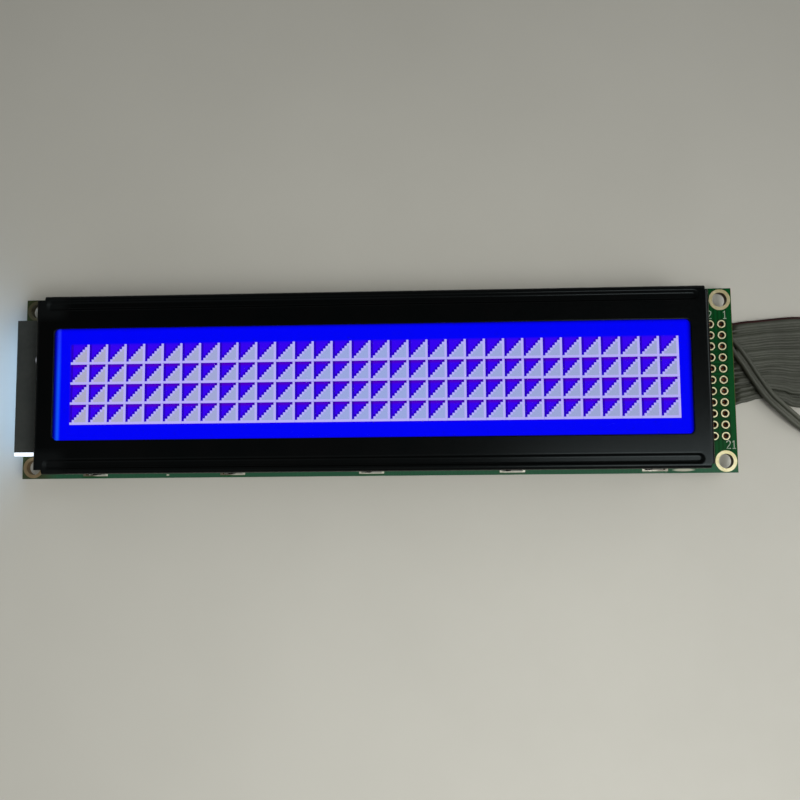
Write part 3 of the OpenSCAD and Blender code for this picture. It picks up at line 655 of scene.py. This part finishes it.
def make_mounting_gold():
    """Gold flash, darkened by painted shade at the lamps' end and on the holes' walls."""
    material, tree, shader, place = gold_flash("gold_flash_with_painted_shade", ("#CEC9A6", "#BCB488"))
    x, y, _ = add(tree, "SeparateXYZ", {0: place}).outputs
    # Painted shade: the lands at the lamps' end lie in the bezel's shadow, the upper one darkest
    dull = coat(tree, linear("#8A7454"), linear("#4A4734"), y, *UPPER_SHADE)
    gold = coat(tree, fed(shader, "Base Color"), linear("#7C6A48"), y, *UPPER_BROWN)
    # Painted shade on the holes' walls
    level = add(tree, "Math", {0: facing(tree, "Z")}, operation="ABSOLUTE")
    gold = coat(tree, gold, linear("#4A3A1C"), level, FACING[1], FACING[0])
    gold = coat(tree, gold, dull, x, *LAMP_END_SHADE)
    tree.links.new(gold, shader.inputs["Base Color"])
    return material


def make_header_gold():
    """Gold flash browned by flux close to each header hole."""
    material, tree, shader, place = gold_flash("flux_browned_gold_flash", ("#CCCAA6", "#BEBA92"))
    gold = coat(tree, fed(shader, "Base Color"), linear("#3A2A18"), header_reach(tree, place),
                *BROWNED)
    tree.links.new(gold, shader.inputs["Base Color"])
    return material


dress(make_solder_mask(), "circuit_board")
dress(gold_flash("gold_flashed_copper_land", ("#EFE3BC", "#E0CE9A"))[0], "lead_lands")
dress(make_mounting_gold(), "mounting_lands")
dress(make_header_gold(), "header_lands")
# Reflowed tin-lead solder: bright, uneven, with shallow flow marks
dress(weathered("reflowed_tin_solder", ("#DADAD4", "#C2C2BA"), (0.25, 0.38), 0.8, 0.35, 0.01,
                Metallic=1.0)[0],
      "header_solder", "lead_solder", "backlight_solder", "chip_terminals",
      "bias_amplifier_leads", "charge_pump_leads", "backlight_pins")

# Tabs on each long side of the bezel: count, the first one's distance from the end, spacing
TABS = 5
TAB_INSET = 10.5
TAB_PITCH = (bezel_high.x - bezel_low.x - 2 * TAB_INSET) / (TABS - 1)
# Mask over the outer rim of the tabs' lands: distances from the board's edge
RIM_MASK = (0.56, 0.48)
TAB_METALLIC = 0.3
# The lands' left halves are brown: half width of its edge, places along X, shares there
BROWN_EDGE = 0.6
TAB_BROWN_SPAN = (-15.0, -30.0)
TAB_BROWN_SHARES = (0.15, 0.85)
# The right half of the last one is brown too: places along X, share
LAST_BROWN = (63.0, 63.8, 0.7)


def make_tab_tin():
    """Tin on the lands beside the bezel's tabs: brown over one half, with mask over its outer rim.
    """
    material, tree, shader, place = weathered(
        "tin_brown_on_one_side", ("#E4E4D8", "#D2D2C2"), (0.34, 0.48), 5.0, 0.4, 0.008,
        Metallic=TAB_METALLIC)
    x, y, _ = add(tree, "SeparateXYZ", {0: place}).outputs
    from_tab = add(tree, "Math", {0: x, 1: bezel_low.x + TAB_INSET}, operation="SUBTRACT")
    beside = add(tree, "Math", {0: from_tab, 1: TAB_PITCH / 2, 2: -TAB_PITCH / 2},
                 operation="WRAP")
    left = add(tree, "MapRange", {0: beside, 1: BROWN_EDGE, 2: -BROWN_EDGE})
    brown_share = add(tree, "MapRange", {
        0: x, 1: TAB_BROWN_SPAN[0], 2: TAB_BROWN_SPAN[1], 3: TAB_BROWN_SHARES[0],
        4: TAB_BROWN_SHARES[1]})
    brown_part = add(tree, "Math", {0: left, 1: brown_share}, operation="MULTIPLY")
    last = add(tree, "MapRange", {0: x, 1: LAST_BROWN[0], 2: LAST_BROWN[1], 4: LAST_BROWN[2]})
    brown_part = add(tree, "Math", {0: brown_part, 1: last}, operation="MAXIMUM")
    tin = coat(tree, fed(shader, "Base Color"), linear("#4A4228"), brown_part)
    aside = add(tree, "Math", {0: y}, operation="ABSOLUTE")
    rim = add(tree, "MapRange", {
        0: aside, 1: board_high.y - RIM_MASK[0], 2: board_high.y - RIM_MASK[1]})
    tin = coat(tree, tin, linear("#024A1F"), rim)
    bare = add(tree, "MapRange", {0: rim, 3: TAB_METALLIC, 4: 0.0})
    tree.links.new(tin, shader.inputs["Base Color"])
    tree.links.new(bare.outputs[0], shader.inputs["Metallic"])
    return material


dress(make_tab_tin(), "tab_lands")
# Drawn copper conductor ends, tarnished in browns
bare_copper = weathered("tarnished_copper_strands", ("#6E4226", "#3A2012"), (0.45, 0.6),
                        0.4, 0.15, 0.02, Metallic=1.0)[0]
dress(bare_copper, "tail_conductors", "lead_conductors")

# Solder in the header holes that take no wire: rings as distance above the board's back, radius
FILL_RINGS = [(0.3, 0.52), (0.9, 0.52), (1.05, 0.38), (1.12, 0.12)]


def make_filled_holes():
    """Browned solder with a domed top in each spare header hole."""
    shape = ([], [], [])
    for column in range(2):
        for row in range(RIBBON_WIRES // 2, HEADER_ROWS):
            x = header_x - column * HEADER_PITCH
            sweep(shape, [Vector((x, header_y(row), board_low.z + z)) for z, _ in FILL_RINGS],
                  [radius for _, radius in FILL_RINGS], PLAIN)
    make_piece("filled_holes", shape, [bare_copper])


make_filled_holes()

# Bezel

# Radius to which the press and the enamel round the sheet's edges
PRESSED_R = 0.35
# The dull corners: distances from the bezel's end and from its long edges, roughness
DULL_ALONG = (8.0, 5.0)
DULL_ASIDE = (7.0, 5.0)
DULL_ROUGHNESS = 0.62


def make_enamel():
    """Sheet steel with baked black enamel: satin, very dark, with a cold sheen.

    It is dull at the two corners beside the lamps, and the sheet's edges are slightly rounded.
    """
    material, tree, shader, place = weathered(
        "baked_black_enamel_on_steel", ("#030404", "#050505"), (0.2, 0.23), 8.0, 0.6, 0.001,
        Specular_IOR_Level=0.17, Specular_Tint=linear("#E8FAFF"))
    x, y, _ = add(tree, "SeparateXYZ", {0: place}).outputs
    end = add(tree, "MapRange", {
        0: x, 1: bezel_low.x + DULL_ALONG[0], 2: bezel_low.x + DULL_ALONG[1]})
    aside = add(tree, "Math", {0: y}, operation="ABSOLUTE")
    side = add(tree, "MapRange", {
        0: aside, 1: bezel_high.y - DULL_ASIDE[0], 2: bezel_high.y - DULL_ASIDE[1]})
    corner = add(tree, "Math", {0: end, 1: side}, operation="MULTIPLY")
    gloss = add(tree, "Mix", {0: corner, 2: fed(shader, "Roughness"), 3: DULL_ROUGHNESS})
    tree.links.new(gloss.outputs[0], shader.inputs["Roughness"])
    pressed = add(tree, "Bevel", {"Radius": PRESSED_R * MM}, samples=8)
    tree.links.new(pressed.outputs[0], fed(shader, "Normal").node.inputs["Normal"])
    return material


dress(make_enamel(), "bezel")

# Display cell

# The lit dots' tint changes up to one place along the display and from another on, in cells
LEFT_TINT_END = 12.8
RIGHT_TINT_START = 19.2
# How softly the field turns violet round the dots
MATRIX_EDGE = 0.35
# Where unlit dots redden under the cell above: shares of a cell's height
REDDENED = (0.78, 0.96)
# How much the unlit dots beside lit ones darken
STARVED_SHARE = 0.5
# A lighter stripe along the screen's edge beside the lamps: distance from the bezel's edge, half
# width, the places along Y between which its colour turns
LAMP_GLOW_INSET = 4.55
LAMP_GLOW_REACH = 0.75
LAMP_GLOW_TURN = (2.0, 11.0)
# The field dims where the bezel's window shades it: the film's lap under the bezel, then how far
# outside the window the dimming starts and how far inside it ends
FILM_LAP = 0.8
RIM_OUT = 0.95
RIM_IN = 0.5


def dot_places(tree, x, y):
    """For X and for Y: place counted in cells, share of the way through its cell, dot in it."""
    gap = Vector((DOT_GAP / 2, DOT_GAP / 2, 0))
    low = matrix_low - gap
    size = matrix_high + gap - low
    places = []
    for value, start, span in ((x, low.x, size.x / CELLS_X), (y, low.y, size.y / CELLS_Y)):
        ahead = add(tree, "Math", {0: value, 1: start}, operation="SUBTRACT")
        cell = add(tree, "Math", {0: ahead, 1: span}, operation="DIVIDE")
        share = add(tree, "Math", {0: cell}, operation="FRACT")
        dot = add(tree, "Math", {0: share, 1: CELL_DOTS}, operation="MULTIPLY")
        places.append((cell, share, add(tree, "Math", {0: dot}, operation="FLOOR")))
    return places


def make_lit_dots():
    """Liquid crystal dots that pass the backlight: lavender, brightest along each cell's sides."""
    material, tree, shader, place = start_material(
        "lit_liquid_crystal_dots", "#000000", 0.6, Specular_IOR_Level=0.0,
        Emission_Strength=1.0)
    x, y, _ = add(tree, "SeparateXYZ", {0: place}).outputs
    (cell, _, column), (_, _, row) = dot_places(tree, x, y)
    right_side = add(tree, "Math", {0: column, 1: CELL_DOTS - 1, 2: 0.5}, operation="COMPARE")
    foot = add(tree, "Math", {0: row, 1: 0.0, 2: 0.5}, operation="COMPARE")
    stair = add(tree, "Math", {0: column, 1: row, 2: 0.5}, operation="COMPARE")
    sides = add(tree, "Math", {0: right_side, 1: foot}, operation="MAXIMUM")
    sides = add(tree, "Math", {0: sides, 1: stair}, operation="MAXIMUM")
    body = coat(tree, linear("#AEACC6"), linear("#9CAAE0"), cell, 0.0, LEFT_TINT_END)
    body = coat(tree, body, linear("#9EA6D0"), cell, RIGHT_TINT_START, CELLS_X)
    light = coat(tree, body, linear("#B8B2FA"), sides)
    tree.links.new(light, shader.inputs["Emission Color"])
    return material


def share_within(tree, x, y, low, high, out, into):
    """Share that rises from 0 to 1 across a rectangle's edges, from outside them to inside."""
    share = 1.0
    for value, edge, inward in ((x, low.x, 1), (x, high.x, -1), (y, low.y, 1), (y, high.y, -1)):
        rise = add(tree, "MapRange", {
            0: value, 1: edge - inward * out, 2: edge + inward * into},
            interpolation_type="SMOOTHSTEP")
        share = add(tree, "Math", {0: share, 1: rise}, operation="MULTIPLY")
    return share


def make_blue_field():
    """Super-twisted cell over the backlight: saturated blue, violet where unlit dots stand.

    Unlit dots redden under the lit foot of the cell above and darken where they touch lit ones,
    the edge beside the lamps is a lighter blue, and the field dims under the window's rim.
    """
    material, tree, shader, place = start_material(
        "blue_liquid_crystal_field", "#000000", 0.6, Specular_IOR_Level=0.0,
        Emission_Strength=1.0)
    x, y, _ = add(tree, "SeparateXYZ", {0: place}).outputs
    (_, _, column), (cell, share, row) = dot_places(tree, x, y)
    top = add(tree, "MapRange", {0: share, 1: REDDENED[0], 2: REDDENED[1]},
              interpolation_type="SMOOTHSTEP")
    below = add(tree, "Math", {0: cell, 1: CELLS_Y - 1}, operation="LESS_THAN")
    head = add(tree, "Math", {0: top, 1: below}, operation="MULTIPLY")
    unlit = coat(tree, linear("#3604F2"), linear("#4E00C2"), head)
    step = add(tree, "Math", {0: row, 1: column}, operation="SUBTRACT")
    beside_stair = add(tree, "Math", {0: step, 1: 1.0, 2: 0.5}, operation="COMPARE")
    beside_side = add(tree, "Math", {0: column, 1: 0.0, 2: 0.5}, operation="COMPARE")
    touching = add(tree, "Math", {0: beside_stair, 1: beside_side}, operation="MAXIMUM")
    unlit = coat(tree, unlit, linear("#140078"), touching, full=STARVED_SHARE)
    area = share_within(tree, x, y, matrix_low, matrix_high, MATRIX_EDGE, MATRIX_EDGE)
    field = coat(tree, linear("#0204F9"), unlit, area)
    from_lamp = add(tree, "Math", {0: x, 1: bezel_low.x + LAMP_GLOW_INSET}, operation="SUBTRACT")
    away = add(tree, "Math", {0: from_lamp}, operation="ABSOLUTE")
    lamp_side = add(tree, "MapRange", {0: away, 1: LAMP_GLOW_REACH, 2: 0.0},
                    interpolation_type="SMOOTHSTEP")
    stripe = coat(tree, linear("#1454FF"), linear("#2436FF"), y, *LAMP_GLOW_TURN)
    field = coat(tree, field, stripe, lamp_side)
    clear = share_within(tree, x, y, film_low, film_high, RIM_OUT - FILM_LAP, FILM_LAP + RIM_IN)
    light = coat(tree, linear("#000030"), field, clear)
    tree.links.new(light, shader.inputs["Emission Color"])
    return material


# Float glass, clear, with its reflection lost against the film bonded to it
dress(start_material("clear_display_glass", "#FFFFFF", 0.0, IOR=1.5, Transmission_Weight=1.0,
                     Specular_Tint=linear("#000000"))[0], "front_glass")
# Polarizing film with a matt hard coat, almost clear over the lit cell
dress(weathered("matt_polarizing_film", ("#10101C", "#14141F"), (0.45, 0.6), 5.0, 0.1, 0.002,
                Alpha=0.01)[0], "front_polarizer")
dress(make_lit_dots(), "dot_matrix")
dress(make_blue_field(), "rear_glass")
# Epoxy seal between the glasses, dull, with the field's blue light painted on it as a dark blue
dress(weathered("cell_seal_epoxy", ("#0A0A60", "#0C0C70"), (0.5, 0.6), 2.0, 0.3, 0.01)[0],
      "cell_seal")
# Rear polarizing film: smooth, dark blue
dress(weathered("rear_polarizing_film", ("#1A1A40", "#202050"), (0.4, 0.5), 5.0, 0.2, 0.004)[0],
      "rear_polarizer")

# Thickness of a carbon and a plain layer of the rubber strips, coarse enough to show, and the
# levels of the stripes between which carbon starts
ZEBRA_PITCH = 0.4
ZEBRA_EDGE = (0.4, 0.6)


def make_zebra():
    """Silicone rubber with carbon layers: fine black stripes across a pink-grey strip."""
    material, tree, shader, place = start_material("layered_conductive_silicone", "#8A7A78", 0.7)
    layers = add(tree, "TexWave", {
        "Vector": place, "Scale": WAVE_PERIOD / ZEBRA_PITCH, "Distortion": 0.0},
        bands_direction="X")
    colour = coat(tree, linear("#B79C97"), linear("#1B1A1A"), layers.outputs["Fac"], *ZEBRA_EDGE)
    tree.links.new(colour, shader.inputs["Base Color"])
    return material


dress(make_zebra(), "upper_zebra_strip", "lower_zebra_strip")

# Backlight

# Glow of the tray's walls and of its end face, and how far under the bezel it reaches
WALL_GLOW = 1.2
END_GLOW = 9.0
GLOW_REACH = 6.0
# The nick in the tape that leaks light: middle, half sizes, where the leak ends and is full,
# strength
TAPE_LEAK = (-76.15, 6.0)
TAPE_LEAK_HALF = (0.25, 0.9)
TAPE_LEAK_EDGE = (1.0, 0.4)
TAPE_LEAK_GLOW = 0.8


def make_tray():
    """White polycarbonate moulding: chalk white, glowing where the lamps stand in it."""
    material, tree, shader, place = weathered(
        "white_polycarbonate_moulding", ("#EDEFF0", "#E4E7EA"), (0.4, 0.55), 4.0, 0.4, 0.006)
    x = add(tree, "SeparateXYZ", {0: place}).outputs["X"]
    end = add(tree, "MapRange", {0: facing(tree, "X"), 1: -FACING[0], 2: -FACING[1]})
    level = add(tree, "MapRange", {0: end, 3: WALL_GLOW, 4: END_GLOW})
    near = add(tree, "MapRange", {0: x, 1: bezel_low.x + GLOW_REACH, 2: bezel_low.x})
    glow = add(tree, "Math", {0: level, 1: near}, operation="MULTIPLY")
    hue = coat(tree, linear("#E4F0FF"), linear("#AAD3FF"), end)
    tree.links.new(hue, shader.inputs["Emission Color"])
    tree.links.new(glow.outputs[0], shader.inputs["Emission Strength"])
    return material


def make_tape():
    """Vinyl shading tape: dark grey, dull, faintly creased, with a small nick that leaks light."""
    material, tree, shader, place = weathered(
        "dark_vinyl_tape", ("#2F3433", "#383C3A"), (0.5, 0.7), 7.0, 1.2, 0.03,
        Emission_Color=linear("#E4E6F4"))
    reach = spot_reach(tree, place, (*TAPE_LEAK, tape_high.z), (*TAPE_LEAK_HALF, math.inf))
    glow = add(tree, "MapRange", {
        0: reach, 1: TAPE_LEAK_EDGE[0], 2: TAPE_LEAK_EDGE[1], 4: TAPE_LEAK_GLOW})
    tree.links.new(glow.outputs[0], shader.inputs["Emission Strength"])
    return material


dress(make_tray(), "backlight_tray")
dress(make_tape(), "shading_tape")
# Films of white polyester behind and before the light guide: smooth, faintly clouded
dress(weathered("white_polyester_film", ("#F2F4F5", "#E8ECEF"), (0.35, 0.5), 8.0, 0.5, 0.004)[0],
      "reflector_film", "diffuser_film")
# Cast acrylic light guide, clear with a faint water tint
dress(weathered("clear_acrylic_sheet", ("#EAF4F6", "#E2EEF2"), (0.05, 0.12), 9.0, 0.8, 0.002,
                Transmission_Weight=0.9, IOR=1.49)[0], "light_guide")
# White solder mask on the lamp strip: satin, a little yellowed
dress(weathered("white_masked_lamp_strip", ("#E9EAE4", "#DCDDD5"), (0.4, 0.5),
                3.0, 0.4, 0.005)[0], "lamp_strip")
# Cast resin with yellow phosphor over the lamps: smooth, pale yellow
dress(weathered("yellow_phosphor_lamp_resin", ("#F3EBC0", "#EFE08E"), (0.2, 0.35),
                1.0, 0.3, 0.01)[0], "lamps")

# Circuit on the back

# Poured epoxy over the bare driver chips: black, glossy, with soft flow ripples
dress(weathered("poured_black_epoxy", ("#0B0B0C", "#131314"), (0.14, 0.26), 6.0, 2.5, 0.05)[0],
      "column_driver_1", "column_driver_2", "column_driver_3", "column_driver_4", "row_driver")
# Transfer-moulded epoxy chip cases: charcoal, fine matt spark texture
dress(weathered("moulded_epoxy_chip_case", ("#1D1D1E", "#262627"), (0.55, 0.72),
                1.5, 0.12, 0.008)[0], "bias_amplifier", "charge_pump")
# Glazed chip resistors: black overglaze
dress(weathered("black_resistor_glaze", ("#141518", "#1D1E22"), (0.25, 0.4), 0.8, 0.15, 0.005)[0],
      "chip_resistors")
# Fired capacitor ceramic: pale brown, dull
dress(weathered("fired_capacitor_ceramic", ("#A58A63", "#937A57"), (0.4, 0.55),
                0.8, 0.15, 0.008)[0], "chip_capacitors")
# Moulded tantalum capacitor cases: mustard epoxy
dress(weathered("mustard_epoxy_case", ("#B07D22", "#9C6C1B"), (0.45, 0.6), 1.5, 0.15, 0.008)[0],
      "tantalum_capacitors")

# Connectors

# Glass-filled polyester mouldings: black, slightly frosted
dress(weathered("black_glass_filled_polyester", ("#151617", "#1D1E1F"), (0.42, 0.58),
                3.0, 0.2, 0.01)[0], "ribbon_socket", "ribbon_socket_cap")
# Nylon crimp housing, milky white
dress(weathered("milky_nylon_housing", ("#E6E3D8", "#D9D5C8"), (0.38, 0.5), 2.5, 0.3, 0.008)[0],
      "lead_housing")
# Gold flash on phosphor-bronze contacts: bright, deep yellow
dress(weathered("gold_flashed_contact", ("#D9B45A", "#C79F48"), (0.22, 0.36), 0.8, 0.2, 0.01,
                Metallic=1.0)[0], "ribbon_socket_contacts", "lead_contacts")

# Pin numbers printed on the board

# Screen-printed epoxy ink: thin, chalky white, a little broken over the weave
white_ink = weathered("white_epoxy_ink", ("#B2BEAC", "#8CA28E"), (0.6, 0.75), 0.6, 0.12, 0.006)[0]
INK_T = 0.02
STROKE_W = 0.18
NUMBER_H = 1.75
NUMBER_W = 1.6
# Distance from one figure to the next, as a share of NUMBER_W
NUMBER_ADVANCE = 0.75
# Strokes of each figure in a box of width 0.6 and height 1
FIGURES = {
    "1": [[(0.1, 0.78), (0.3, 1.0), (0.3, 0.0)], [(0.08, 0.0), (0.52, 0.0)]],
    "2": [[(0.02, 0.76), (0.1, 0.93), (0.3, 1.0), (0.5, 0.9), (0.54, 0.7), (0.42, 0.48),
           (0.02, 0.0), (0.58, 0.0)]]}
# Middle of each number on the board
NUMBERS = [("2", (76.62, 14.88)), ("1", (80.05, 14.83)), ("21", (80.3, -14.62))]


def make_numbers():
    """Flat ink strokes, each a thin closed bar along its line."""
    shape = ([], [], [])
    z = board_high.z + INK_T / 2
    advance = NUMBER_ADVANCE * NUMBER_W
    for number, (x, y) in NUMBERS:
        start = x - advance * len(number) / 2
        for i, figure in enumerate(number):
            for stroke in FIGURES[figure]:
                line = [Vector((start + i * advance + u * NUMBER_W, y + (v - 0.5) * NUMBER_H, z))
                        for u, v in stroke]
                left, right = [], []
                for k, point in enumerate(line):
                    heading = heading_at(line, k)
                    side = Vector((-heading.y, heading.x, 0)) * STROKE_W / 2
                    left.append(point + side)
                    right.append(point - side)
                strip(shape, left, right, INK_T)
    make_piece("pin_numbers", shape, [white_ink], smooth=False)


make_numbers()

# Floor and lamps

FLOOR_HALF = 1500.0
LAMP_COLOUR = "#FFFEFA"
# Lamps: place, target, size, power in watts, spread in degrees
LAMPS = {
    "key_lamp": ((194, -140, 365), (-40, -150, 0), 240, 0.31, 80),
    "side_lamp": ((520, 100, 400), (50, -20, 0), 300, 0.2, 90),
    "back_lamp": ((450, 380, 210), (40, 40, 0), 400, 0.15, 90),
    "front_lamp": ((430, -360, 210), (20, -120, 0), 400, 0.15, 90)}
# The studio's light, by the upward and the +Y part of a direction: where the ring starts and
# ends, where the panel starts, the darkest and the brightest sky, the walls' top and their light
RING_LOW = (0.2, 0.45)
RING_HIGH = (0.8, 0.6)
PANEL_LOW = (0.6, 0.8)
PANEL_BACK = (0.06, -0.12)
SKY_LIGHT = (0.05, 0.28)
WALL_TOP = (0.22, 0.08)
WALL_LIGHT = 0.14


def make_floor():
    """A plain table top of pale paint: dull, with a faint drift of shade."""
    mesh = bpy.data.meshes.new("floor")
    corners = [(-1, -1), (1, -1), (1, 1), (-1, 1)]
    mesh.from_pydata([Vector((x * FLOOR_HALF, y * FLOOR_HALF, 0)) * MM for x, y in corners],
                     [], [(0, 1, 2, 3)])
    floor = bpy.data.objects.new("floor", mesh)
    bpy.context.scene.collection.objects.link(floor)
    mesh.materials.append(weathered("pale_painted_floor", ("#C9C8C0", "#C5C4BC"), (0.6, 0.7),
                                    60.0, 4.0, 0.01)[0])


def make_lamp(name, place, target, size, power, spread):
    """A square soft lamp that shines at its target and keeps its light within its spread."""
    light = bpy.data.lights.new(name, "AREA")
    light.size = size * MM
    light.energy = power
    light.color = linear(LAMP_COLOUR)[:3]
    light.spread = math.radians(spread)
    lamp = bpy.data.objects.new(name, light)
    bpy.context.scene.collection.objects.link(lamp)
    lamp.location = Vector(place) * MM
    aim = Vector(target) - Vector(place)
    lamp.rotation_euler = aim.to_track_quat("-Z", "Y").to_euler()


def make_studio():
    """Dim walls at the floor's level, a soft ring of light above them, a panel before the part."""
    world = bpy.data.worlds.new("studio")
    bpy.context.scene.world = world
    world.use_nodes = True
    tree = world.node_tree
    background = tree.nodes["Background"]
    axes = add(tree, "SeparateXYZ", {0: add(tree, "TexCoord").outputs["Generated"]})
    shares = []
    for axis, (start, end) in (("Z", RING_LOW), ("Z", RING_HIGH), ("Y", PANEL_BACK),
                               ("Z", PANEL_LOW)):
        shares.append(add(tree, "MapRange", {0: axes.outputs[axis], 1: start, 2: end},
                          interpolation_type="SMOOTHSTEP"))
    ring = add(tree, "Math", {0: shares[0], 1: shares[1]}, operation="MULTIPLY")
    panel = add(tree, "Math", {0: shares[2], 1: shares[3]}, operation="MULTIPLY")
    glow = add(tree, "Math", {0: ring, 1: panel}, operation="MAXIMUM")
    sky = add(tree, "MapRange", {0: glow, 3: SKY_LIGHT[0], 4: SKY_LIGHT[1]})
    wall = add(tree, "MapRange", {
        0: axes.outputs["Z"], 1: WALL_TOP[0], 2: WALL_TOP[1], 4: WALL_LIGHT},
        interpolation_type="SMOOTHSTEP")
    strength = add(tree, "Math", {0: sky, 1: wall}, operation="MAXIMUM")
    background.inputs["Color"].default_value = linear("#F4F4F0")
    tree.links.new(strength.outputs[0], background.inputs["Strength"])


make_floor()
for lamp_name, lamp_settings in LAMPS.items():
    make_lamp(lamp_name, *lamp_settings)
make_studio()

bpy.context.scene.view_settings.view_transform = "Standard"
